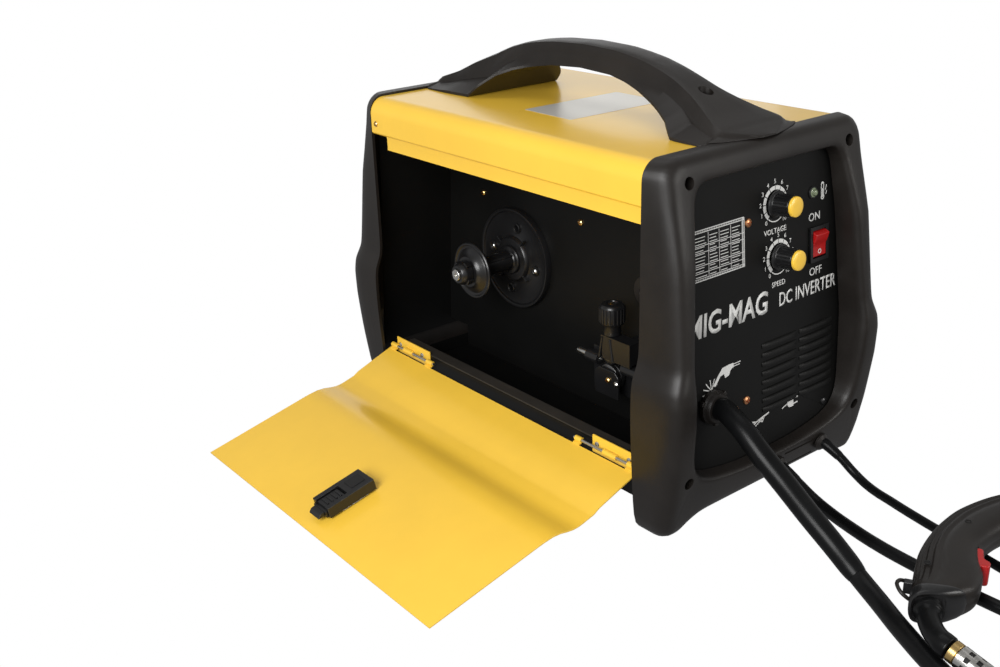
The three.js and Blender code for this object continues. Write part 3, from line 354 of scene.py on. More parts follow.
MATERIAL_OF = {
    BLACK_SHEET: [
        "base_pan", "divider_panel", "front_panel", "rear_panel", "feeder_motor", "fan_frame",
    ],
    NYLON: ["feeder_body", "pressure_arm", "fan_rotor", "switch_housing"],
    YELLOW: ["hinge_leaf_front", "hinge_leaf_rear"],
    GUNMETAL: ["drive_roll", "pressure_roll"],
    STEEL: ["inlet_guide", "outlet_guide"],
    BOARD: ["control_board"],
    ALUMINIUM: ["heat_sink"],
    COPPER: ["transformer"],
    MOULDED: ["cable_grommet"],
    BRASS: ["gas_inlet"],
}
TURNED_NODES = [
    "feeder_motor", "drive_roll", "pressure_roll", "inlet_guide", "outlet_guide", "gas_inlet", "fan_rotor",
]
for finish, names in MATERIAL_OF.items():
    for name in names:
        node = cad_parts[name]
        node.data.materials.clear()
        node.data.materials.append(finish)
        for polygon in node.data.polygons:
            polygon.use_smooth = name in TURNED_NODES
        weld = node.modifiers.new("weld", "WELD")
        weld.merge_threshold = 2e-6
        soften(node, 0.35)


# ---------------------------------------------------------------- camera and light
EYE = (-739.29, -777.29, 537.21)
LOOK = {"turn": math.radians(-37.92), "down": math.radians(22.42), "roll": math.radians(-2.04)}


def set_camera():
    turn, down, roll = LOOK["turn"], LOOK["down"], LOOK["roll"]
    back = Vector((math.sin(turn) * math.cos(down), -math.cos(turn) * math.cos(down), math.sin(down)))
    right = Vector((math.cos(turn), math.sin(turn), 0))
    up = back.cross(right)
    across = right * math.cos(roll) + up * math.sin(roll)
    above = up * math.cos(roll) - right * math.sin(roll)
    data = bpy.data.cameras.new("camera")
    data.lens = 41.45
    data.sensor_width = 36
    camera = bpy.data.objects.new("camera", data)
    bpy.context.scene.collection.objects.link(camera)
    turned = Matrix((across, above, back)).transposed().to_4x4()
    camera.matrix_world = Matrix.Translation(at(*EYE)) @ turned
    bpy.context.scene.camera = camera


LIGHT_AIM = (0, 0, 150)


def softbox(name, place, size, power, tint=(1, 1, 1)):
    data = bpy.data.lights.new(name, "AREA")
    data.shape = "RECTANGLE"
    data.size, data.size_y = size
    data.energy = power
    data.color = tint
    light = bpy.data.objects.new(name, data)
    bpy.context.scene.collection.objects.link(light)
    light.location = at(*place)
    light.rotation_euler = (at(*LIGHT_AIM) - light.location).to_track_quat("-Z", "Y").to_euler()


def set_light():
    """A bright white surround that looks pure white behind the object, with soft boxes over it."""
    world = bpy.data.worlds.new("surround")
    bpy.context.scene.world = world
    world.use_nodes = True
    nodes, links = world.node_tree.nodes, world.node_tree.links
    seen = nodes["Background"]
    seen.inputs["Color"].default_value = (1, 1, 1, 1)
    seen.inputs["Strength"].default_value = 1.0
    glow = nodes.new("ShaderNodeBackground")
    glow.inputs["Strength"].default_value = 0.5
    height = nodes.new("ShaderNodeSeparateXYZ")
    where = nodes.new("ShaderNodeTexCoord")
    ramp = nodes.new("ShaderNodeValToRGB")
    ramp.color_ramp.elements[0].position = 0.35
    ramp.color_ramp.elements[0].color = (0.6, 0.6, 0.61, 1)
    ramp.color_ramp.elements[1].position = 0.85
    ramp.color_ramp.elements[1].color = (0.6, 0.59, 0.58, 1)
    ramp.color_ramp.elements.new(0.58).color = (1, 1, 1, 1)
    scale = nodes.new("ShaderNodeMapRange")
    scale.inputs["From Min"].default_value = -1
    links.new(where.outputs["Generated"], height.inputs["Vector"])
    links.new(height.outputs["Z"], scale.inputs["Value"])
    links.new(scale.outputs["Result"], ramp.inputs["Fac"])
    links.new(ramp.outputs["Color"], glow.inputs["Color"])
    path = nodes.new("ShaderNodeLightPath")
    mix = nodes.new("ShaderNodeMixShader")
    links.new(path.outputs["Is Camera Ray"], mix.inputs["Fac"])
    links.new(glow.outputs["Background"], mix.inputs[1])
    links.new(seen.outputs["Background"], mix.inputs[2])
    links.new(mix.outputs["Shader"], nodes["World Output"].inputs["Surface"])
    softbox("key", (-1450, -650, 850), (0.9, 0.9), 28)
    softbox("front", (500, -1500, 600), (0.8, 0.5), 7, tint=(1, 0.98, 0.95))
    softbox("over", (100, 200, 1500), (1.2, 0.8), 3)
    softbox("back", (1000, 1300, 700), (1.2, 0.6), 1.5)


set_camera()
set_light()
bpy.context.scene.view_settings.view_transform = "Standard"


# ---------------------------------------------------------------- cords
TORCH_LEAD = {"radius": 7.75, "coil": (75, -705), "middle": 84}
WORK_LEAD = {"radius": 5.25, "coil": (-45, -577), "middle": 58}
MAINS_LEAD = {"radius": 4, "coil": (102, -541), "middle": 44}
CHIN = {
    "work": {"x": 8, "z": 27, "hole": 8, "lead": 5.25, "lean": 0.2},
    "mains": {"x": 68, "z": 31, "hole": 6.5, "lead": 4, "lean": 0.14},
}
FACE_DEPTH = [
    (0, 33), (30, 40), (60, 45), (105, 50), (130, 51),
    (142, 50), (160, 46.5), (240, 37.5), (290, 26), (323, 20),
]
SIDE_LEAN = [(190, 0), (BEZEL["top"], 0.075)]
FLOOR_LEVEL = 0.6


def off_panel(x, v, out):
    return tuple(FRONT @ on_panel(x, v, out) @ Vector((0, 0, 0)))


def straight_out(hole, distances):
    face = BODY["front"] - between(FACE_DEPTH, hole["z"])
    lean = hole["lean"]
    return [(hole["x"], face - d * math.cos(lean), hole["z"] - d * math.sin(lean)) for d in distances]


POINTS_PER_TURN = 16


def wound(lead, start, direction, turns, lanes):
    """The turns of a coil: each lane (radius, height) lasts one turn, and the lead moves over at its end."""
    cx, cy = lead["coil"]
    line = []
    for i in range(round(turns * POINTS_PER_TURN) + 1):
        lane = min(i // POINTS_PER_TURN, len(lanes) - 1)
        share = max(0.0, (i / POINTS_PER_TURN - lane - 0.75) / 0.25)
        ease = share * share * (3 - 2 * share)
        here, there = lanes[lane], lanes[min(lane + 1, len(lanes) - 1)]
        radius, z = (a + (b - a) * ease for a, b in zip(here, there))
        angle = math.radians(start) + direction * 2 * math.pi * i / POINTS_PER_TURN
        line.append((cx + radius * math.cos(angle), cy + radius * math.sin(angle), z))
    return line


def levels(lead, row):
    return FLOOR_LEVEL + lead["radius"] * (1 + 2 * row)


def lead_curve(name, route, lead, hides):
    data = bpy.data.curves.new(name, "CURVE")
    data.dimensions = "3D"
    data.bevel_depth = lead["radius"] * MM
    data.bevel_resolution = 5
    data.resolution_u = 8
    data.use_fill_caps = True
    spline = data.splines.new("BEZIER")
    spline.bezier_points.add(len(route) - 1)
    for point, place in zip(spline.bezier_points, route):
        point.co = at(*place)
        point.handle_left_type = point.handle_right_type = "AUTO"
    data.materials.append(RUBBER)
    obj = bpy.data.objects.new(name, data)
    bpy.context.scene.collection.objects.link(obj)
    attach(obj, "chassis")
    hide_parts(*hides)
    return obj


torch_floor = levels(TORCH_LEAD, 0)
torch_top = levels(TORCH_LEAD, 1)
torch_out = [
    *[off_panel(TORCH_GLAND["x"], TORCH_GLAND["v"], out) for out in (-9, 0, 9, 15)],
    (-68.5, -236, 97.5), (-69, -256, 83), (-67, -278, 66), (-64, -302, 46), (-63, -328, 28), (-66, -352, 15),
    (-75, -378, 9), (-92, -410, torch_floor), (-111, -450, torch_floor), (-129, -500, torch_floor),
    (-140, -555, torch_floor), (-137, -610, torch_floor), (-116, -662, torch_floor), (-78, -706, torch_floor),
    (-36, -742, torch_floor), (-12, -757, torch_floor),
]
torch_in, torch_outer = (TORCH_LEAD["middle"] + side * TORCH_LEAD["radius"] for side in (-1, 1))
torch_turns = wound(
    TORCH_LEAD, 225, 1, 3.375,
    [(torch_outer, torch_floor), (torch_in, torch_floor), (torch_in, torch_top), (torch_outer, torch_top)],
)
torch_back = [
    (172, -680, 20.5), (177, -656, 16), (181, -620, 10), (183, -582, torch_floor), (182, -540, torch_floor),
    (177, -500, 9.5), (166, -464, 14.5), (149, -437.5, 21), (131, -420.5, TORCH_Z),
]
TORCH_ROUTE = torch_out + torch_turns + torch_back
torch_lead = lead_curve(
    "torch_lead_full", TORCH_ROUTE, TORCH_LEAD, ["torch_lead", "torch_lead_coil", "torch_lead_return"]
)

work_floor, work_top = levels(WORK_LEAD, 0), levels(WORK_LEAD, 1)
work_in, work_outer = (WORK_LEAD["middle"] + side * WORK_LEAD["radius"] for side in (-1, 1))
WORK_ROUTE = [
    *straight_out(CHIN["work"], (-10, 0, 9)), (9.5, -235, 18.5), (10.5, -251, 10), (8, -270, work_floor),
    (0, -300, work_floor), (-6, -332, work_floor), (-9, -366, work_floor), (-10.5, -400, work_floor),
    (-11, -430, work_floor), (-9, -460, work_floor), (-2, -492, work_floor), (8, -520, work_floor),
    (14, -538, work_floor),
    *wound(
        WORK_LEAD, -16, -1, 3.375,
        [(work_outer, work_floor), (work_in, work_floor), (work_in, work_top), (work_outer, work_top)],
    ),
    (-104, -594, 19), (-97, -583, 23), (-86, -578, 26.4), (-70, -577, 28), (-54, -577, 29),
]
work_lead = lead_curve("work_lead_full", WORK_ROUTE, WORK_LEAD, ["work_lead", "work_lead_coil"])

mains_floor, mains_top = levels(MAINS_LEAD, 0), levels(MAINS_LEAD, 1)
mains_lanes = [MAINS_LEAD["middle"] + MAINS_LEAD["radius"] * 2 * k for k in (1, 0, -1)]
MAINS_ROUTE = [
    *straight_out(CHIN["mains"], (-9, 0, 9)), (70.5, -236, 22), (73, -250, 11), (70, -268, 5.4),
    (63, -298, mains_floor), (56, -330, mains_floor), (49, -368, mains_floor), (41, -405, mains_floor),
    (36, -440, mains_floor), (37, -475, mains_floor), (41, -500, mains_floor), (45, -514.5, mains_floor),
    *wound(
        MAINS_LEAD, 170, 1, 4.6875,
        [*[(r, mains_floor) for r in mains_lanes], *[(r, mains_top) for r in mains_lanes[::-1]]],
    ),
    (98, -489, 14), (72, -479, 17), (44, -482, 22), (27, -500, 27),
    (29, -523, 32), (45, -538, 35), (64, -541, 35.2),
]
mains_lead = lead_curve("mains_lead_full", MAINS_ROUTE, MAINS_LEAD, ["mains_lead", "mains_lead_coil"])


def sleeve_along(name, route, stretches, sizes):
    """A sleeve over the first stretches of a route, whose radius follows the stations in sizes."""
    shape = tube(route[: stretches + 1], lambda way: between(sizes, way), sides=28, steps=6)
    return piece(name, shape, RUBBER)


# ---------------------------------------------------------------- bezels
def bezel_half(inset):
    """Right half of the bezel's outline, from the bottom middle up to the top middle."""
    half, flare, foot, top, arch = (BEZEL[key] for key in ("half", "flare", "foot", "top", "arch"))
    radius = 17 - inset * 0.5
    points = [
        (0, arch + inset), (45, arch + inset), (86, arch + inset), (100, 7 + inset), (106 + inset, inset),
        (foot - inset, inset), (flare - 1.5 - inset, 70), (flare - inset, 105), (flare - inset, 130),
        (flare - 1.5 - inset, 143), (half + 1.5 - inset, 156), (half - inset, 168), (half - inset, 240),
    ]
    for i in range(7):
        angle = i / 6 * math.pi / 2
        x = half - inset - radius + radius * math.cos(angle)
        points.append((x, top - inset - radius + radius * math.sin(angle)))
    points += [(60, top - inset), (0, top - inset)]
    return points


def recess_half(grow):
    """Right half of the edge of the recess in the face, point for point with bezel_half."""
    points = [
        (0, 43), (38, 44), (60, 46.5), (80, 50), (94, 56), (102, 65), (106, 78), (107.5, 100), (109, 130),
        (109.5, 143), (109, 156), (107.5, 168), (102, 240), (94, 285), (92.6, 289), (90.9, 293), (88.5, 296),
        (85.5, 298.5), (81, 300.3), (75, 301), (50, 301), (0, 301),
    ]
    return [(x + grow if x else 0, z + grow if z > 150 else z - grow * 0.6) for x, z in points]


def whole(half):
    """Both halves of an outline, with a few steps along each stretch."""
    steps = 5
    fine = []
    for (x0, z0), (x1, z1) in zip(half, half[1:]):
        fine += [(x0 + (x1 - x0) * k / steps, z0 + (z1 - z0) * k / steps) for k in range(steps)]
    fine.append(half[-1])
    left = [(-x, z) for x, z in fine[-2:0:-1]]
    return fine + left


def eased(values):
    """A closed outline with its corners eased."""
    for _ in range(3):
        after = values[1:] + values[:1]
        values = [
            tuple(0.25 * a + 0.5 * b + 0.25 * c for a, b, c in zip(values[i - 1], here, after[i]))
            for i, here in enumerate(values)
        ]
    return values


def panel_y(z, offset=0.0):
    return PANEL["y"] - PANEL["tilt"] * (PANEL["z"] - z) + offset


def bezel_shape():
    wall = BEZEL["wall"]

    def ring(half, share):
        return [(x, BODY["front"] - between(FACE_DEPTH, z) * share, z) for x, z in eased(whole(half))]

    def side(inset, share):
        leaning = [(x * (1 - share * between(SIDE_LEAN, z)), z) for x, z in bezel_half(inset)]
        return ring(leaning, share)

    def on_sheet(half, offset):
        return [(x, panel_y(z, offset), z) for x, z in eased(whole(half))]

    outside = [(0, 0), (0, 0.3), (0, 0.55), (0.5, 0.7), (1.5, 0.8), (3, 0.89), (5, 0.95), (8, 0.985), (12, 1)]
    inside = [(7, 1), (4.5, 0.995), (2.8, 0.975), (1.5, 0.94), (0.6, 0.88), (0, 0.8)]
    return loft(
        [
            side(wall, 0),
            *[side(inset, share) for inset, share in outside],
            *[ring(recess_half(grow), share) for grow, share in inside],
            on_sheet(recess_half(-1), -0.3),
            on_sheet(recess_half(1), 0.3),
            on_sheet(recess_half(4), 0.3),
            side(wall + 9, 0.78),
            side(wall, 0.6),
        ],
        ringed=True,
    )


SCREW_SEATS = [(-100, 304), (100, 304), (-112, 56), (112, 56)]


def face_y(z):
    return BODY["front"] - between(FACE_DEPTH, z)


def through_chin(hole):
    place = Matrix.Translation((hole["x"], face_y(hole["z"]), hole["z"]))
    return place @ Matrix.Rotation(hole["lean"], 4, "X")


SCREW_HEIGHT = 2.2


def pan_screw(radius):
    """A cross-head screw about the +Y axis, its head towards -Y."""
    shoulder = [(radius * 0.92, -SCREW_HEIGHT * 0.5), (radius * 0.6, -SCREW_HEIGHT * 0.9)]
    return lathe("y", [(0, 1), (radius, 1), (radius, 0), *shoulder, (0, -SCREW_HEIGHT)], sides=24)


def cross_slot(radius):
    height = SCREW_HEIGHT
    arm, depth = radius * 0.16, height * 0.9
    return merged(
        block(-radius * 0.6, radius * 0.6, -height - 0.1, -height + depth, -arm, arm),
        block(-arm, arm, -height - 0.1, -height + depth, -radius * 0.6, radius * 0.6),
    )


def screw(name, material, place, radius):
    piece(name, pan_screw(radius), material, place=place, bevel=0.12, carved=[cross_slot(radius)])


def bezel(name, place, holes):
    body = bezel_shape()
    seats = [rod("y", 5.2, -14, 5.5, (x, face_y(z) + 5.5, z)) for x, z in SCREW_SEATS]
    leads = [moved(rod("y", hole["hole"], -9, 14), through_chin(hole)) for hole in holes]
    chin = (22, 36) if holes else ()
    grooves = [block(17, 60, face_y(z) - 6, face_y(z) + 1.2, z - 1.1, z + 1.1) for z in chin]
    cuts = [*seats, *leads, *grooves]
    piece(name + "_shell", body, MOULDED, place=place, hides=[name], carved=cuts, angle=38)
    for i, (x, z) in enumerate(SCREW_SEATS):
        seat = place @ Matrix.Translation((x, face_y(z) + 8.5, z))
        # Screws in the upper seats are near-black painted shade of their deep holes; the lower ones are nylon.
        screw(f"{name}_screw_{i}", BLACK_AND_SHADE if z > 100 else NYLON, seat, 4.3)


bezel("front_bezel", UPRIGHT, list(CHIN.values()))
bezel("rear_bezel", TURNED, [])


# ---------------------------------------------------------------- sheet metal casing
def bent_sheet(path):
    """The outline of a bent sheet: its outer path in X and Z, thickened towards its left-hand side."""
    inner = []
    for i, (x, z) in enumerate(path):
        before = Vector(path[max(i - 1, 0)])
        after = Vector(path[min(i + 1, len(path) - 1)])
        here = Vector((x, z))
        a = (here - before).normalized() if i else (after - here).normalized()
        b = (after - here).normalized() if i < len(path) - 1 else a
        along = (a + b).normalized()
        reach = SHEET / max(0.35, along.dot(b))
        inner.append((x - along.y * reach, z + along.x * reach))
    return list(path) + inner[::-1]


def arc(cx, cz, radius, start, end, steps):
    angles = [math.radians(start + (end - start) * i / steps) for i in range(steps + 1)]
    return [(cx + radius * math.cos(a), cz + radius * math.sin(a)) for a in angles]


FLARE_WALL = [(127.5, 171), (127.6, 165), (128.4, 155), (130.5, 147), (133.5, 140), (135.6, 134), (136.4, 129),
              (136.5, 124), (136.1, 116), (135.9, 111)]


def cover_path():
    half, top, corner = BODY["half"], BODY["top"], BODY["corner"]
    lip = [(-half + 2, 271.5), (-half + 2, 283), (-half + 1.5, 285), (-half, 286.8), (-half, 296)]
    left = arc(-half + corner, top - corner, corner, 180, 90, 14)
    right = arc(half - corner, top - corner, corner, 90, 0, 14)
    return [*lip, *left, *right, *FLARE_WALL, (BODY["flare"] - 9.5, 32)][::-1]


cover = prism("y", bent_sheet(cover_path()), BODY["front"] + GAP, BODY["rear"] - GAP)
notch = block(-131, -119, 182, BODY["rear"] + 2, 266, 285.2)
piece("top_cover_sheet", cover, YELLOW, hides=["top_cover"], carved=[notch], bevel=0.35, angle=24)
piece(
    "top_label",
    prism("z", rounded(-60, 56, -20, 46, 2), BODY["top"], BODY["top"] + 0.15),
    LABEL,
    place=Matrix.Translation((0, 0, 0.05)) @ Matrix.Rotation(math.radians(-1.5), 4, "Z"),
)

wire_side = [(-x, z) for x, z in FLARE_WALL[::-1]]
door_path = [(-128, 60), (-130.2, 78), (-133.6, 104), *wire_side, (-127.5, 200), (-127.5, DOOR["top"])]
HINGE_SPANS = {
    "front": {"pin": (-168, -92), "body": (-146, -130), "door": [(-168, -160), (-102, -94)]},
    "rear": {"pin": (124, 202), "body": (162, 178), "door": [(126, 136), (190, 200)]},
}


def hinge_bar(radius, span):
    return rod("y", radius, *span, (HINGE["x"], 0, HINGE["z"]), 24)


door_sheet = merged(
    prism("y", bent_sheet(door_path), DOOR["front"], DOOR["rear"]),
    *[hinge_bar(HINGE["radius"], span) for hinge in HINGE_SPANS.values() for span in hinge["door"]],
    *[
        block(-128.1, HINGE["x"] - 1.5, *span, HINGE["z"] + 1, HINGE["z"] + 4.6)
        for hinge in HINGE_SPANS.values()
        for span in hinge["door"]
    ],
)
window = block(-140, -110, LATCH["y"] - 10, LATCH["y"] + 10, LATCH["low"] + 8, LATCH["low"] + 36)
piece(
    "side_door_sheet", door_sheet, YELLOW, "door", ON_DOOR,
    hides=["side_door"], carved=[window], bevel=0.3, angle=24,
)

for name, hinge in HINGE_SPANS.items():
    piece(f"hinge_pin_{name}", hinge_bar(HINGE["pin"] + 0.25, hinge["pin"]), STEEL)
    for i, y in enumerate((hinge["body"][0] - 12, hinge["body"][1] + 12)):
        dome = [(0, 0), (2.8, 0), (2.4, -0.9), (1.2, -1.4), (0, -1.5)]
        rivet = lathe("x", dome, (-121.6, y, HINGE["z"] + 1), 20)
        piece(f"hinge_rivet_{name}_{i}", rivet, STEEL)

# Latch: a frame with a stepped slide whose bevelled tongue points to the door's free edge.
door_inside = -BODY["half"] + SHEET + GAP
ly, low, high = LATCH["y"], LATCH["low"], LATCH["high"]


def raised(y0, y1, z0, z1, x0, x1):
    return block(door_inside + x0, door_inside + x1, ly + y0, ly + y1, z0, z1)


latch_tongue = loft(
    [
        [(door_inside + x, ly + y, z) for x, y in ((2.6, -8), (top, -8), (top, 8), (2.6, 8))]
        for z, top in ((high + 1.9, 6.6), (high + 6, 6.4), (high + 9, 3.4))
    ]
)
latch_room = [raised(-10.5, 10.5, low + 4, high + 1, -1, 7.4), raised(-8, 8, low + 26, high + 1, 7, 12)]
piece(
    "latch_frame", raised(-13, 13, low, high, 0, 11), NYLON, "door", ON_DOOR,
    hides=["latch_housing"], carved=latch_room, bevel=0.7,
)
# The latch rib is near-black: painted shade of a slot in the frame.
piece("latch_rib", raised(-6.5, 6.5, low + 5, low + 20, 10.9, 11.6), BLACK_AND_SHADE, "door", ON_DOOR, bevel=0.2)
piece(
    "latch_slide",
    merged(
        raised(-10.1, 10.1, low + 14, high + 2, 0.4, 7),
        raised(-7, 7, low + 28, high - 1, 6.9, 9.4),
        raised(-8.5, 8.5, low + 15, low + 34, -SHEET - GAP - 0.4, 0.6),
        latch_tongue,
    ),
    NYLON, "latch", ON_DOOR, hides=["latch_slider"], bevel=0.4,
)
for k in range(4):
    rib = raised(-5.5, 5.5, low + 30 + k * 4.6, low + 31.8 + k * 4.6, 9.3, 10.2)
    piece(f"latch_grip_{k}", rib, NYLON, "latch", ON_DOOR, bevel=0.25)

# Sill strip and lip between the hinges, a floor stud and wall screws of the wire compartment.
piece("sill_strip", block(-119.8, -106, -150, 186, 60.1, 61.3), SILL, bevel=0.4)
piece("sill_lip", block(-113.6, -112.6, -164, 198, 40, 59), BLACK_SHEET)
stud = [(0, 0), (3.2, 0), (3.2, 2), (2, 5), (2, 9), (0, 9.6)]
piece("floor_stud", lathe("z", stud, (-104, 176, 25.6), 24), STEEL)
WALL_SCREWS = [(160, 212), (9, 212), (-60, 238)]
for i, (y, z) in enumerate(WALL_SCREWS):
    wall = Matrix.Translation((DIVIDER_X, y, z)) @ TO_THE_DOOR
    screw(f"divider_screw_{i}", BRASS, wall, 3.4)
screw("cover_screw", BRASS, Matrix.Translation((-127.2, 197, 296)) @ TO_THE_DOOR, 3)

# ---------------------------------------------------------------- carry handle
# Each station: distance from the middle, height of the crown, half width of the crown, half width of the lower
# edge, height of the lower edge.
ROOF_LEVEL = BODY["top"] + GAP
RIM_LEVEL = BEZEL["top"] + GAP
ARCH = [(0, 379, 12, 17, 357), (40, 377.5, 12, 17.5, 355)]
TOE = [
    (170, 337, 30, 60, ROOF_LEVEL), (187.5, 330.8, 38, 59.5, ROOF_LEVEL), (189.8, 330, 38, 59, RIM_LEVEL),
    (197, 327.6, 27, 42, RIM_LEVEL), (203, 325.8, 14, 24, RIM_LEVEL), (208, 324.8, 4, 8, RIM_LEVEL),
]
FRONT_LEG = [
    (60, 375, 12, 18.5, 351), (80, 371.5, 12.5, 23, 346.5), (100, 366, 13, 30, 341.5),
    (118, 359.5, 14, 38, 337), (137, 351, 17, 48, 331), (149, 346, 21, 57, 323.6),
    (152, 344.8, 22, 58.5, ROOF_LEVEL),
]
REAR_LEG = [
    (60, 375.5, 12, 18, 352), (72, 373.8, 12, 22, 350), (84, 371.5, 12.5, 30, 347), (95, 368.5, 13, 40, 342),
    (102, 366.5, 14, 50, 336), (110, 363.5, 15, 56, 329), (118, 360, 17, 58, 322),
    (120, 359, 17.5, 58.5, ROOF_LEVEL), (150, 347, 25, 60, ROOF_LEVEL),
]


def handle_section(station, side):
    distance, top, crown, spread, low = station
    y = BODY["middle"] + side * distance
    rise = top - low
    waist = crown + 3 + (spread - crown - 3) * 0.22
    right = [
        (spread, low), (spread - 0.3, low + min(2.5, rise * 0.1)),
        (spread - (spread - waist) * 0.45, low + rise * 0.22),
        (waist + 0.8, low + rise * 0.42), (waist - 0.6, low + rise * 0.62), (crown + 3.4, top - rise * 0.16),
        (crown + 1.8, top - rise * 0.04), (crown - 1.5, top), (crown * 0.5, top + 0.3),
    ]
    return [(x, y, z) for x, z in right] + [(-x, y, z) for x, z in right[::-1]]


def fine_stations(stations):
    """The same legs with a section every few millimetres, smooth where they curve."""
    rows = []
    for a, b in zip(stations, stations[1:]):
        count = max(1, round((b[0] - a[0]) / 3))
        rows += [tuple(p + (q - p) * k / count for p, q in zip(a, b)) for k in range(count)]
    rows.append(stations[-1])
    for _ in range(3):
        rows = [rows[0]] + [
            (b[0], *[0.25 * p + 0.5 * q + 0.25 * r for p, q, r in zip(a[1:-1], b[1:-1], c[1:-1])], b[-1])
            for a, b, c in zip(rows, rows[1:], rows[2:])
        ] + [rows[-1]]
    return rows


front_leg = fine_stations([*ARCH, *FRONT_LEG, *TOE])[:0:-1]
rear_leg = fine_stations([*ARCH, *REAR_LEG, *TOE])
handle_shape = loft([handle_section(s, -1) for s in front_leg] + [handle_section(s, 1) for s in rear_leg])
hole_y = {side: BODY["middle"] + side * 138 for side in (-1, 1)}
seats = [rod("z", 6.5, 338, 392, (0, y, 0)) for y in hole_y.values()]
piece("carry_handle_shell", handle_shape, MOULDED, hides=["carry_handle"], carved=seats, bevel=1.1, angle=40)
for side, y in hole_y.items():
    bolt = lathe("z", [(0, 334), (5, 334), (5, 340), (2.7, 340), (2.7, 338), (0, 338)], (0, y, 0), 32)
    # The bolt heads deep in their seats are near-black painted shade.
    piece(f"handle_bolt_{'rear' if side > 0 else 'front'}", bolt, BLACK_AND_SHADE, bevel=0.2)


# ---------------------------------------------------------------- front panel
PRINT_OUT = -0.72
PRINT_THICK = 0.1


def flat_print(name, outlines):
    """Thin printed shapes on the front panel: outlines in (x, v)."""
    shapes = [prism("y", [(x, v - PANEL["z"]) for x, v in outline], 0, PRINT_THICK) for outline in outlines]
    lift = Matrix.Translation((0, -PRINT_OUT - PRINT_THICK, 0))
    piece(name, merged(*shapes), PRINT, place=FRONT @ lift)


def lettering(name, words, x, v, size, lean=0.0, weight=0.0, centred=True, stretch=1.0):
    """Printed words on the front panel, as a thin mesh."""
    data = bpy.data.curves.new(name, "FONT")
    data.body = words
    data.size = size * 1.38
    data.shear = lean
    data.offset = weight * size
    data.align_x = "CENTER" if centred else "LEFT"
    data.resolution_u = 3
    text = bpy.data.objects.new(name, data)
    bpy.context.scene.collection.objects.link(text)
    bpy.context.view_layer.update()
    flat = bpy.data.meshes.new_from_object(text.evaluated_get(bpy.context.evaluated_depsgraph_get()))
    bpy.data.objects.remove(text)
    place = FRONT @ on_panel(x, v, PRINT_OUT + PRINT_THICK)
    for vertex in flat.vertices:
        vertex.co = at(*(place @ Vector((vertex.co.x * stretch, 0, vertex.co.y))))
    obj = bpy.data.objects.new(name, flat)
    bpy.context.scene.collection.objects.link(obj)
    flat.materials.clear()
    flat.materials.append(PRINT)
    thick = obj.modifiers.new("thick", "SOLIDIFY")
    thick.thickness = PRINT_THICK * MM
    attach(obj, "chassis")


def stroke(points, width):
    """An even line through points, as a closed outline."""
    left, right = [], []
    for i, (x, v) in enumerate(points):
        along = Vector(points[min(i + 1, len(points) - 1)]) - Vector(points[max(i - 1, 0)])
        side = Vector((-along.y, along.x)).normalized() * width / 2
        left.append((x + side.x, v + side.y))
        right.append((x - side.x, v - side.y))
    return left + right[::-1]


def sector(cx, cv, inner, outer, start, end, steps=5):
    return arc(cx, cv, outer, start, end, steps) + arc(cx, cv, inner, end, start, steps)


DIAL_FROM, DIAL_SWEEP = 232, -284
for name, x, v in (("voltage", KNOB["x"], KNOB["upper"]), ("speed", KNOB["x"] + 4, KNOB["lower"])):
    steps = 10
    turn = DIAL_SWEEP / steps
    segments = [
        sector(x, v, 12.2, 15.6, DIAL_FROM + turn * k + turn * 0.06, DIAL_FROM + turn * (k + 0.94))
        for k in range(steps)
    ]
    low_angles = [math.radians(a) for a in range(228, 313, 7)]
    low_line = [(x + 13.2 * math.cos(a), v - 2 + 13.2 * math.sin(a)) for a in low_angles]
    flat_print(name + "_dial_ring", [*segments, stroke(low_line, 0.9)])
    for k in range(steps + 1):
        angle = math.radians(DIAL_FROM + turn * k)
        figure_x, figure_v = x + 19 * math.cos(angle), v - 1.5 + 19 * math.sin(angle)
        lettering(f"{name}_figure_{k}", str(k), figure_x, figure_v, 4, weight=0.01)
    lettering(name + "_word", name.upper(), x, v - 25.5 if name == "voltage" else v - 26, 4.8, weight=0.014)

lettering("on_word", "ON", 73, 235.6, 7.4, weight=0.012)
lettering("off_word", "OFF", 75, 186, 7.4, weight=0.012)
lettering("process_word", "MIG-MAG", -92, 168, 20, lean=0.1, weight=0.03, centred=False, stretch=0.86)
lettering("supply_word", "DC INVERTER", 24, 169, 12.6, lean=0.04, weight=0.014, centred=False, stretch=0.74)


# Rating table: a double border with a grid of plain bars where words would be.
def rating_table():
    left, right, bottom, top = -94, -20, 216, 258
    outlines = [
        stroke([(left, v), (right, v)], 0.7) for v in (bottom, bottom + 2, top, top - 2)
    ]
    outlines += [stroke([(x, bottom), (x, top)], 0.7) for x in (left, right, right - 1.6)]
    hatch = 36
    for k in range(hatch):
        x = left + (right - left) * (k + 0.3) / hatch
        outlines += [stroke([(x, v), (x + 1.2, v + 2)], 0.4) for v in (bottom, top - 2)]
    rows = [(245.5, 255), (240, 244.5), (229, 239), (223, 228), (218.5, 222)]
    for low_row, high_row in rows:
        outlines.append(stroke([(left, low_row - 0.5), (right, low_row - 0.5)], 0.5))
        columns = [left + 3, left + 14, left + 31, left + 44, left + 58, right - 2]
        for x0, x1 in zip(columns, columns[1:]):
            outlines.append(stroke([(x1 - 0.6, low_row - 0.5), (x1 - 0.6, high_row)], 0.4))
            line = low_row + 1.1
            while line < high_row - 0.6:
                reach = x1 - 2 - (x1 - x0) * random.uniform(0.05, 0.3)
                outlines.append(stroke([(x0 + 0.8, line), (reach, line)], 0.62))
                line += 2.7
    return outlines


flat_print("rating_table", rating_table())

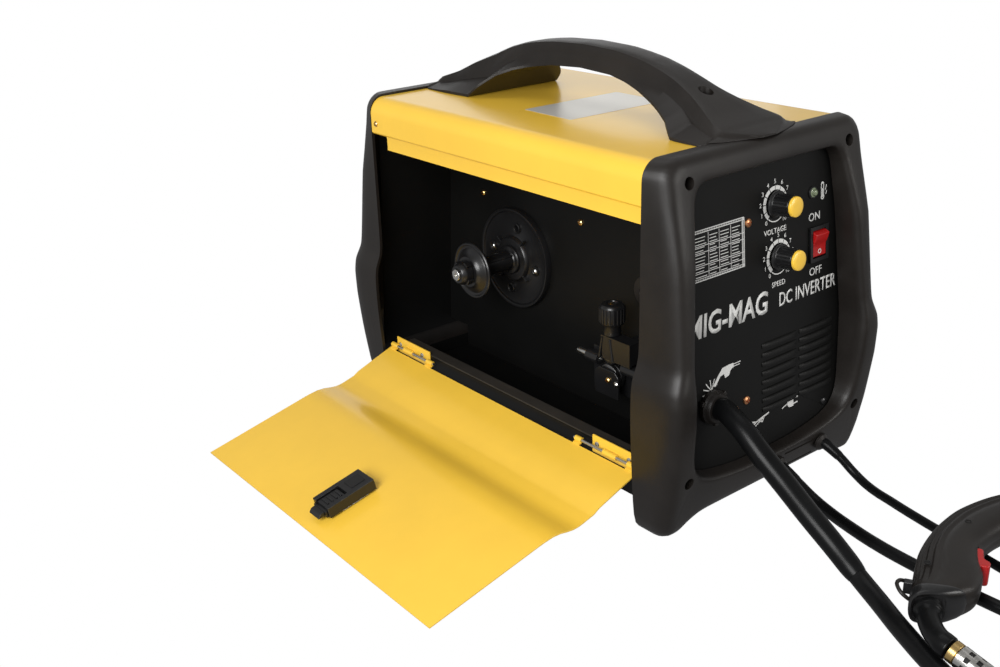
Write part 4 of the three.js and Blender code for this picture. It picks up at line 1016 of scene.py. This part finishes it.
# Symbols: thermometer by the lamp, torch with sparks, clamp and plug over the leads.
thermometer = stroke([(82.4, 256), (82.4, 266)], 0.7), stroke([(85.6, 256), (85.6, 266)], 0.7)
bulb = sector(84, 254.4, 1.3, 2.3, 0, 359, 20)
flat_print(
    "thermometer_symbol",
    [*thermometer, bulb, arc(84, 266, 1.9, 0, 180, 8), stroke([(84, 254), (84, 262)], 1.1),
     stroke([(88, 260), (89.6, 264), (88.8, 264.4)], 0.7), stroke([(88.4, 256), (90, 259.2)], 0.7)],
)
torch_sign = [
    (-62, 121), (-56, 128), (-50, 134), (-42, 134.6), (-36, 134.6), (-36, 131),
    (-40, 129), (-42, 125), (-47, 124), (-48, 128), (-53, 127), (-59, 119.6),
]
sparks = [
    stroke([(-64, 117), (-64 + 11 * math.cos(a), 117 + 11 * math.sin(a))], 0.9)
    for a in (math.radians(70 + 29 * k) for k in range(9))
]
lead_sign = stroke([(-36, 133.4), (-27, 133.6)], 0.8), stroke([(-36, 131.4), (-28, 131.5)], 0.8)
flat_print("torch_symbol", [torch_sign, *lead_sign, *sparks])
flat_print(
    "clamp_symbol",
    [stroke([(-18, 63), (-8, 70), (10, 74)], 1.6), stroke([(-13, 71.5), (-8, 70)], 1.6),
     stroke([(-6, 71), (1, 68), (3, 71.5)], 1.3), stroke([(-10, 66), (4, 72)], 0.9)],
)
flat_print(
    "plug_symbol",
    [arc(40, 74, 4.6, 90, 270, 10) + [(44, 69.4), (44, 78.6)], stroke([(44, 76.6), (50, 77)], 1.2),
     stroke([(44, 71.4), (50, 71.8)], 1.2), stroke([(36, 74), (28, 71.6)], 1.1)],
)


# Pressed louvres: a hood over each slot, open below.
def hood(x, v, width):
    """Half a long dome over a slot, whose lower edge stands off the sheet."""
    rings = []
    for k in range(9):
        across = -1 + 2 * k / 8
        swell = max(0.06, (1 - abs(across) ** 6)) ** 0.5
        here = x + width / 2 * across
        ring = [(here, 0.9, v + 2.9)]
        for step in range(6):
            lean = step / 5 * math.pi / 2
            ring.append((here, 0.8 - 2.5 * swell * math.sin(lean), v + 2.9 - 4.4 * (1 - math.cos(lean))))
        ring.append((here, 0.9, v - 1.4))
        rings.append([(px, py, pz - PANEL["z"]) for px, py, pz in ring])
    return loft(rings)


for row in range(8):
    v = 138 - row * 8.5
    for column in (0, 1):
        piece(f"louvre_{row}_{column}", hood(24.5 + column * 51, v, 47), BLACK_SHEET, place=FRONT, angle=50)

for i, (x, v) in enumerate(((-15, 252), (-20, 95), (-88, 282), (88, 60))):
    screw(f"panel_screw_{i}", COPPER if i < 2 else NYLON, FRONT @ on_panel(x, v, -0.8), 3.9)


# ---------------------------------------------------------------- knobs, switch, lamp
def knob_shape():
    skirt = [
        (0, -14), (8.5, -14), (8.5, -3), (3.2, -3), (3.2, 0.6), (11.2, 0.6), (11.6, 1), (11.6, 2.2),
        (11.2, 2.8), (9.9, 3.4), (9.2, 5), (8.8, 17.6), (8.4, 18.6), (7.6, 19), (0, 19),
    ]
    return lathe("y", skirt, sides=64)


def knob_ribs():
    rib = prism("y", rounded(8.5, 9.7, -0.8, 0.8, 0.38, 3), 3.2, 18)
    return merged(*[moved(rib, Matrix.Rotation(angle, 4, "Y")) for angle in ring_angles(18)])


cap_profile = [(0, 19.3), (8.3, 19.3), (8.8, 19.7), (8.8, 21), (8.5, 21.7), (7.8, 22.1), (5, 22.5), (0, 22.6)]
for name, x, v in (("voltage", KNOB["x"], KNOB["upper"]), ("speed", KNOB["x"] + 4, KNOB["lower"])):
    place = FRONT @ on_panel(x, v) @ OUTWARDS
    dial = name + "_dial"
    piece(name + "_knob_body", merged(knob_shape(), knob_ribs()), NYLON, dial, place, hides=[name + "_knob"])
    piece(name + "_knob_button", lathe("y", cap_profile), YELLOW, dial, place, hides=[name + "_knob_cap"])

lamp_profile = [
    (0, -12), (2.8, -12), (2.8, -0.4), (4.2, -0.4), (4.2, 0.9), (3.6, 1.3),
    (2.9, 1.4), (2.8, 2.4), (2.4, 3.3), (1.4, 3.8), (0, 3.9),
]
lamp_at = FRONT @ on_panel(LAMP["x"], LAMP["v"]) @ OUTWARDS
piece("lamp_lens_body", lathe("y", lamp_profile), LENS, place=lamp_at, hides=["warning_lamp"])
lamp_ring = [(4.3, -0.6), (5.6, -0.6), (5.6, 0.2), (5, 0.9), (4.3, 0.9), (4.3, -0.6)]
piece("lamp_ring", lathe("y", lamp_ring), NYLON, place=lamp_at)

switch_at = FRONT @ on_panel(SWITCH["x"], SWITCH["v"])
rocker = [
    (5, -11.5), (5, 11.5), (1, 12), (-2, 11.2), (-5.2, 9.2), (-5, 8.4), (-3.9, 4.6),
    (-2.6, 1.6), (-1.6, 0), (-1.2, -3), (-1.1, -7), (-1.2, -11.2), (1, -12),
]
rocker_shape = prism("x", rocker, -9, 9)
piece("power_rocker_body", rocker_shape, RED, "rocker", switch_at, hides=["power_rocker"], bevel=0.7)
off_mark = prism("y", sector(0, -7, 1.5, 2.2, 0, 359, 24), -1.32, -1.14)
piece("rocker_mark_off", off_mark, PRINT, "rocker", switch_at)

gland_profile = [
    (8.4, -10), (10.8, -10), (10.8, -0.3), (14.6, -0.3), (15, 0.1), (15, 3.6),
    (14.4, 4.4), (13.4, 6), (12.8, 8.4), (12.2, 9), (8.4, 9), (8.4, -10),
]
gland_at = FRONT @ on_panel(TORCH_GLAND["x"], TORCH_GLAND["v"]) @ OUTWARDS
piece("torch_gland_ring", lathe("y", gland_profile), MOULDED, place=gland_at, hides=["torch_gland"])
gland_lug = block(11.5, 17.2, 0.2, 4.4, -2.2, 2.2)
gland_lugs = merged(*[moved(gland_lug, Matrix.Rotation(a, 4, "Y")) for a in ring_angles(3, 0.6)])
piece("torch_gland_lugs", gland_lugs, MOULDED, place=gland_at, bevel=0.8)
for name, hole in CHIN.items():
    lead, bore = hole["lead"] + GAP, hole["hole"] - GAP
    ring = [(lead, -4), (bore, -4), (bore, 0.7), (bore + 1.6, 0.7), (bore + 2, 1.1), (bore + 2, 3),
            (bore + 1.4, 3.9), (lead + 1.3, 5.5), (lead + 0.7, 7), (lead, 7), (lead, -4)]
    place = through_chin(hole) @ OUTWARDS
    piece(name + "_gland_ring", lathe("y", ring), MOULDED, place=place, hides=[name + "_gland"])


# ---------------------------------------------------------------- spool holder
SPOOL_AT = (DIVIDER_X - GAP, SPOOL["y"], SPOOL["z"])


def spool_part(name, profile, material, body, node, **more):
    piece(name, lathe("x", profile, SPOOL_AT, 64), material, body, hides=[node], **more)


def around_spool(radius, degrees):
    angle = math.radians(degrees)
    return SPOOL["y"] + radius * math.cos(angle), SPOOL["z"] + radius * math.sin(angle)


rim = SPOOL["flange"]
flange_profile = [
    (4.6, 0), (rim, 0), (rim, -5.6), (rim - 0.5, -6.4), (rim - 2, -6.6), (rim - 3.4, -6), (rim - 4.4, -4.3),
    (rim - 6, -4), (26, -4), (24.4, -4.6), (23.4, -7.4), (22, -8.8), (20.5, -9), (4.6, -9), (4.6, 0),
]
flange_holes = [rod("x", 2.8, -12, 2, (SPOOL_AT[0], *around_spool(34, angle))) for angle in (100, 280)]
spool_part("spool_flange_disc", flange_profile, NYLON, "chassis", "spool_flange", carved=flange_holes)
boss = [(3.2, -3.9), (5.6, -3.9), (5.2, -5.8), (4.4, -6.2), (3.6, -6), (3.2, -5.4), (3.2, -3.9)]
for i, angle in enumerate((10, 100, 190, 280)):
    y, z = around_spool(34, angle)
    piece(f"flange_boss_{i}", lathe("x", boss, (SPOOL_AT[0], y, z), 32), NYLON)
    if i % 2 == 0:
        wall = Matrix.Translation((SPOOL_AT[0] - 4.6, y, z)) @ TO_THE_DOOR
        screw(f"flange_screw_{i}", STEEL, wall, 3)
for i, angle in enumerate((40, 130, 220, 310)):
    rib = block(SPOOL_AT[0] - 8.6, SPOOL_AT[0] - 3.9, 21, 30, -0.8, 0.8)
    turn = Matrix.Translation((0, SPOOL["y"], SPOOL["z"])) @ Matrix.Rotation(math.radians(angle), 4, "X")
    piece(f"flange_rib_{i}", rib, NYLON, place=turn, bevel=0.3)

axle = [(0, 14), (7, 14), (7, 8.2), (4, 8.2), (4, -75), (5.7, -75), (5.7, -80), (5.2, -80.5), (2.3, -80.5),
        (2.3, -77), (0, -77)]
spool_part("spool_axle_bar", axle, STEEL, "chassis", "spool_axle")
hexagon = [(6.1 * math.cos(a), 6.1 * math.sin(a)) for a in ring_angles(6, 0.3)]
nut_at = Matrix.Translation(SPOOL_AT)
nut_bore = [rod("x", 2.6, -82, -78.5)]
piece("spool_hex_nut", prism("x", hexagon, -80.3, -76), CHROME, place=nut_at, carved=nut_bore, bevel=0.35)
sleeve_profile = [
    (4.4, -9.4), (15, -9.4), (15, -11.4), (14.2, -12.4), (11, -13),
    (10, -14), (10, -54), (4.4, -54), (4.4, -9.4),
]
spool_part("spool_sleeve_body", sleeve_profile, NYLON, "spool_hub", "spool_sleeve")
for i in range(3):
    fin = block(-53.6, -14, 9.6, 11.6, -1, 1)
    turn = Matrix.Translation(SPOOL_AT) @ Matrix.Rotation(math.radians(120 * i + 20), 4, "X")
    piece(f"spool_sleeve_fin_{i}", fin, NYLON, "spool_hub", turn, bevel=0.4)
retainer = [
    (4.4, -54.4), (13, -54.4), (20, -54.7), (25, -55.7), (28, -57.2), (29, -58.6), (28.9, -59.8), (28, -60.8),
    (26.6, -60.8), (25.4, -59.8), (23.6, -59.6), (22.4, -60.6), (19, -62.2), (16.5, -64.4), (15.5, -65.8),
    (4.4, -66), (4.4, -54.4),
]
spool_part("spool_retainer_ring", retainer, NYLON, "spool_hub", "spool_retainer")
cap_shape = [
    (6.4, -66.4), (11.2, -66.4), (11.6, -67), (11.6, -73.6), (11, -74.8),
    (9.6, -77.6), (8.8, -78.4), (6.4, -78.5), (6.4, -66.4),
]
spool_part("spool_cap_body", cap_shape, NYLON, "spool_hub", "spool_cap")
for i in range(4):
    lug = block(-73.4, -66.6, 11.2, 13.4, -3, 3)
    turn = Matrix.Translation(SPOOL_AT) @ Matrix.Rotation(math.radians(90 * i + 35), 4, "X")
    piece(f"spool_cap_lug_{i}", lug, NYLON, "spool_hub", turn, bevel=0.5)

# ---------------------------------------------------------------- wire feeder
fx, fy, fz = FEEDER["x"], FEEDER["y"], FEEDER["z"]
arm_top = fz + 30
knob_profile = [
    (2.3, 0), (8, 0), (8.5, 0.6), (8.5, 9.6), (9, 10.4), (11.2, 11.4), (11.8, 12.4), (11.8, 27), (11.2, 28.8),
    (9.8, 30.2), (5.6, 31), (5.2, 29.8), (0, 29.6), (0, 21), (2.3, 21), (2.3, 0),
]
knurl = prism("z", rounded(11.4, 12.5, -1, 1, 0.5, 3), 13.2, 27.2)
knurls = merged(*[moved(knurl, Matrix.Rotation(a, 4, "Z")) for a in ring_angles(20)])
tension_at = Matrix.Translation((fx, fy, arm_top + GAP))
piece("tension_knob_body", merged(lathe("z", knob_profile, sides=64), knurls), NYLON, "tensioner", tension_at,
      hides=["tension_knob"])
stud_end = lathe("z", [(0, 29.7), (4.4, 29.7), (4.2, 30.5), (2.4, 31.3), (0, 31.5)], sides=32)
piece("tension_knob_stud", stud_end, CHROME, "tensioner", tension_at)
guard = [(fy - 17, fz - 30), (fy + 13, fz - 30), (fy + 15, fz - 26), (fy + 15, fz - 8), (fy + 9, fz - 3),
         (fy - 12, fz - 3), (fy - 17, fz - 8)]
piece("roll_guard", prism("x", guard, fx - 8.6, fx - 6.2), NYLON, bevel=0.6)
for i, (y, z) in enumerate(((-66, 82), (-77, 81))):
    wall = Matrix.Translation((fx - 8.7, y, z)) @ TO_THE_DOOR
    screw(f"guard_screw_{i}", BRASS if i == 0 else CHROME, wall, 3.1)
feeder_wall = Matrix.Translation((fx + 6.9, fy - 30, fz + 22)) @ TO_THE_DOOR
screw("feeder_screw", STEEL, feeder_wall, 2.6)
for i, lean in enumerate((-1, 1)):
    leg = tube([(fx - 7.6, fy + 5 * lean, arm_top - 2), (fx - 7.8, fy + 9 * lean, fz + 7)], 1.5, 14)
    piece(f"tension_leg_{i}", leg, NYLON, "arm")
for name, start, reach in (("inlet", 15.9, 8), ("outlet", -32, 15)):
    collar = [(3.3, 0), (5.6, 0), (5.6, reach - 1.4), (4.6, reach), (3.3, reach), (3.3, 0)]
    piece(f"{name}_collar", lathe("y", collar, (fx, fy + start, fz), 40), NYLON)

# ---------------------------------------------------------------- welding torch
HANDLE_EDGES = [
    ((-87, -409.5), (-66, -428.5)), ((-75, -402.5), (-52, -433.5)), ((-61, -395), (-38, -435)),
    ((-41, -384.5), (-18, -427)), ((-24, -377), (-5, -417)), ((0, -370), (11, -407.5)),
    ((24, -366), (28, -405)),
    ((50, -365), (46, -405)), ((79, -370), (66, -407.5)), ((100, -378), (84, -412)), ((122, -391), (103, -421)),
    ((139, -406), (119, -431)),
]
TORCH_HALF = 14


HANDLE_SIDES = 144


def handle_rings(edges, grow=0.0, ribbed=True):
    """Sections of the handle: rounded, with a split line along the middle and ribs on the outer upper side."""
    rings = []
    for j, (outer, inner) in enumerate(edges):
        across = Vector(outer) - Vector(inner)
        middle = (Vector(outer) + Vector(inner)) / 2
        half = across.length / 2 + grow
        across.normalize()
        edge = min(j, len(edges) - 1 - j)
        end = (0.88, 0.95, 0.985, 1)[min(edge, 3)]
        ring = []
        for k in range(HANDLE_SIDES):
            angle = 2 * math.pi * k / HANDLE_SIDES
            c, s = (math.copysign(abs(w) ** 0.62, w) for w in (math.cos(angle), math.sin(angle)))
            depth = 0.0
            if ribbed and 0.1 < angle / math.pi < 0.5 and edge > 8:
                depth = 1.1 * (0.5 - 0.5 * math.cos(angle * 24)) * min(1, (edge - 8) / 6)
            if ribbed and (k == 0 or k == HANDLE_SIDES // 2):
                depth = 0.5
            size = half * end - depth
            tall = (TORCH_HALF + grow) * end - depth
            ring.append((middle.x + across.x * c * size, middle.y + across.y * c * size, TORCH_Z + s * tall))
        rings.append(ring)
    return rings


flat_edges = [(*outer, *inner) for outer, inner in HANDLE_EDGES]
fine_edges = [((a, b), (c, d)) for a, b, c, d in smooth(flat_edges, 6)]
TRIGGER_AT = Matrix.Translation((-1, -411, TORCH_Z)) @ Matrix.Rotation(0.5, 4, "Z")
pocket = moved(block(-16, 12, -20, 7, -9.5, 9.5), TRIGGER_AT)
torch_shell = loft(handle_rings(fine_edges))
piece("torch_handle_shell", torch_shell, MOULDED, hides=["torch_handle"], carved=[pocket], angle=50)
piece("torch_collar", loft(handle_rings(fine_edges[:9], 0.45, ribbed=False)), NYLON, bevel=0.4)
trigger_outline = [(-14, 2), (11, 2), (11, -3.6), (9, -5), (-2, -5.6), (-4, -7), (-6, -9.6), (-8, -10.4),
                   (-12.6, -10), (-14, -8)]
trigger_shape = prism("z", trigger_outline, -9, 9)
piece("torch_trigger_body", trigger_shape, RED, "trigger", TRIGGER_AT, hides=["torch_trigger"], bevel=1.2)
# Screw dimples on the torch handle are near-black painted shade of their holes.
for i, (x, y) in enumerate(((-44, -396), (30, -385), (104, -402))):
    rim_profile = [(0, 0), (2.6, 0), (2.6, 0.7), (2, 0.9), (1.9, 0.2), (0, 0.2)]
    seat = lathe("z", rim_profile, (x, y, TORCH_Z + TORCH_HALF - 0.4), 24)
    piece(f"torch_screw_{i}", seat, BLACK_AND_SHADE)
hook_points = [
    (-66, -394, 31), (-71, -391, 33), (-78, -393, 34), (-82, -399, 32), (-80, -404, 28), (-75, -405, 24),
]
piece("torch_hook", tube(hook_points, 1.5, 12), MOULDED)
piece("torch_hook_lug", block(-3, 3, -4, 2.5, -5, 5), NYLON, bevel=0.8,
      place=Matrix.Translation((-70, -396.5, 30)) @ Matrix.Rotation(0.5, 4, "Z"))

NECK_LINE = [(-76, -418.8, TORCH_Z), (-79.4, -420.8, TORCH_Z), (-83, -423, TORCH_Z), (-90.5, -428.8, TORCH_Z),
             (-97.5, -436.5, TORCH_Z), (-102, -443.5, 25.4), (-103.9, -448.5, 25), (-104.4, -453.5, 24.2)]
neck_sizes = [(0, 10.6), (0.22, 10.6), (0.27, 9.2), (0.34, 8.2), (0.7, 8.2), (0.82, 8.9), (0.97, 8.9), (1, 8.4)]
neck = tube(NECK_LINE, lambda way: between(neck_sizes, way), 40, 8)
piece("torch_neck_hose", neck, RUBBER, hides=["torch_neck"], angle=60)
along_nozzle = Vector((-0.02, -0.975, -0.22)).normalized()
NOZZLE = Matrix.Translation(NECK_LINE[-1]) @ along_nozzle.to_track_quat("Z", "Y").to_matrix().to_4x4()
nut = [(0, 1), (7.8, 1), (8.4, 1.6), (8.4, 6.6), (8, 7), (0, 7)]
piece("nozzle_nut_ring", lathe("z", nut), BRASS, place=NOZZLE, hides=["torch_nozzle_nut"])
nozzle_tube = [
    (7.3, 7.4), (8.3, 7.4), (8.7, 7.9), (8.7, 44), (8.2, 50), (7.6, 55.4),
    (7.3, 56), (6.2, 56), (6.4, 50), (7, 44), (7.3, 40), (7.3, 7.4),
]
ports = merged(*[
    moved(block(5.5, 12, -1.9, 1.9, h, h + 3.8), Matrix.Rotation(angle + (0.3 if row % 2 else 0), 4, "Z"))
    for row, h in enumerate((13, 20.5, 28))
    for angle in ring_angles(8)
])
nozzle = lathe("z", nozzle_tube, sides=64)
piece("nozzle_shell", nozzle, CHROME, place=NOZZLE, hides=["torch_nozzle"], carved=[ports])
# The insulator inside the nozzle is black, darkened further as painted shade of the nozzle's inside.
piece("nozzle_insulator", rod("z", 7.1, 7.6, 39), BLACK_AND_SHADE, place=NOZZLE)
tip = [(0, 39.2), (3, 39.2), (3, 49.6), (2.7, 50.6), (1.9, 53.6), (1.6, 54), (0.7, 54), (0.7, 50), (0, 50)]
piece("contact_tip_body", lathe("z", tip, sides=32), COPPER, place=NOZZLE, hides=["contact_tip"])

# ---------------------------------------------------------------- what is on the leads
boot_sizes = [(0, 9.2), (0.06, 9.8), (0.3, 9.5), (0.5, 9.9), (0.8, 9.6), (0.95, 9.2), (1, 8)]
torch_boot = sleeve_along("torch_boot", TORCH_ROUTE[1:], 8, boot_sizes)
work_relief = sleeve_along("work_relief", WORK_ROUTE[1:], 2, [(0, 6.9), (0.3, 6.6), (0.97, 5.6), (1, 5.3)])
mains_relief = sleeve_along("mains_relief", MAINS_ROUTE[1:], 2, [(0, 5.6), (0.3, 5.3), (0.97, 4.4), (1, 4.05)])
torch_tail = sleeve_along("torch_tail", TORCH_ROUTE[::-1], 1, [(0, 10), (0.5, 9.4), (0.96, 8.4), (1, 7.9)])

CLAMP = {"x": -45, "y": -577, "low": 22, "high": 41}
jaw_outline = [
    (-75, 24), (-72, 25.4), (-60, 27), (-30, 19.4), (0, 11), (10, 9), (20, 8.6), (36, 10.4),
    (50, 13), (62, 12.4), (70, 10), (73, 6), (74, 0.6), (66, 0.6), (60, 2), (50, 6),
    (36, 5.4), (22, 2.5), (0, 4.5), (-20, 10), (-60, 20), (-72, 18.2), (-74, 18),
]


def jaw_plate(side):
    outline = [(x, y * side) for x, y in jaw_outline]
    room = block(3, 21, -14, 14, 25 - CLAMP["low"], 38 - CLAMP["low"])
    outer = block(3, 21, -14, 14, -1, 3.3), block(3, 21, -14, 14, 6.2, 12.8), block(3, 21, -14, 14, 15.7, 20)
    plate = prism("z", outline, 0, CLAMP["high"] - CLAMP["low"])
    return plate, ([room] if side < 0 else list(outer))


GRIP = [(-76, 17.2), (-76, 25), (-72, 26.6), (-60, 28.2), (-34, 21.6), (-34, 12.9), (-60, 19)]
clamp_at = Matrix.Translation((CLAMP["x"], CLAMP["y"], CLAMP["low"]))
clamp_pieces = []
for side, body, node, lug_spans in (
    (-1, "chassis", "clamp_jaw_fixed", ((0.2, 2.8), (16.2, 18.8))),
    (1, "clamp_jaw", "clamp_jaw_moving", ((3.5, 6), (13, 15.5))),
):
    plate, gaps = jaw_plate(side)
    jaw = piece(node + "_plate", plate, YELLOW, body, clamp_at, hides=[node], carved=gaps, bevel=0.5)
    reach = (-4, 9) if side > 0 else (-9, 4)
    lugs = merged(*[block(5, 19, *reach, *span) for span in lug_spans])
    lug_bore = [rod("z", 2.8, -2, 22, (12, 0, 0))] if side > 0 else []
    lug_piece = piece(node + "_lugs", lugs, YELLOW, body, clamp_at, carved=lug_bore, bevel=0.3)
    grip_outline = [(x, y * side) for x, y in GRIP]
    grip = piece(node + "_grip", prism("z", grip_outline, -0.6, 19.6), RUBBER, body, clamp_at, bevel=1.2)
    teeth = merged(*[
        prism("z", [(x, 5.4 * side), (x + 3, 5.4 * side), (x + 1.5, 2.4 * side)], 2, 17)
        for x in (50, 53, 56, 59)
    ])
    bite = piece(node + "_teeth", teeth, COPPER, body, clamp_at)
    clamp_pieces += [jaw, lug_piece, grip, bite]
pin_profile = [
    (0, -0.2), (4, -0.2), (4, 0.1), (2.5, 0.2), (2.5, 18.8), (4, 18.9), (4, 19.8), (3, 20.2), (0, 20.2),
]
clamp_pieces.append(piece("clamp_pin", lathe("z", pin_profile, (12, 0, 0)), STEEL, place=clamp_at))
coil_line = [
    (12 + 4.9 * math.cos(a), 4.9 * math.sin(a), 7.2 + 4.6 * k / 40)
    for k, a in ((k, 2 * math.pi * 4 * k / 40) for k in range(41))
]
coil = tube(coil_line, 0.55, 10, 2)
clamp_pieces.append(piece("clamp_spring_coil", coil, STEEL, place=clamp_at, hides=["clamp_spring"]))
cable_lug = tube([(-14, 0, 7.4), (-4, -2, 8), (3.5, -5.2, 8)], 4.2, 20)
clamp_pieces.append(piece("clamp_lug", cable_lug, COPPER, place=clamp_at))

PLUG_AT = Matrix.Translation((102, -541, 35.2))
plug_profile = [
    (0, -34), (5, -34), (5.6, -32), (5.6, -12), (7, -8), (10, -1.5), (12.6, 3), (16.4, 7), (17.6, 9), (18, 11),
    (18, 20.4), (17, 21.8), (15.6, 22), (15.4, 20.6), (0, 20.6),
]
plug_body = piece("plug_body", lathe("x", plug_profile, sides=56), RUBBER, place=PLUG_AT, hides=["mains_plug"])
pin = [(0, 20), (2.4, 20), (2.4, 39.4), (1.6, 40.8), (0, 41)]
plug_pins = merged(*[lathe("x", pin, (0, side * 9.5, 0), 24) for side in (-1, 1)])
plug_pin_piece = piece("plug_pins", plug_pins, CHROME, place=PLUG_AT)
plug_ribs = merged(*[block(12, 19, -1, 1, 17.2, 18.8)] + [
    moved(block(9.4, 19, -0.9, 0.9, 17.4, 18.7), Matrix.Rotation(a, 4, "X")) for a in ring_angles(24)
])
plug_grip = piece("plug_grip", plug_ribs, RUBBER, place=PLUG_AT, bevel=0.3)
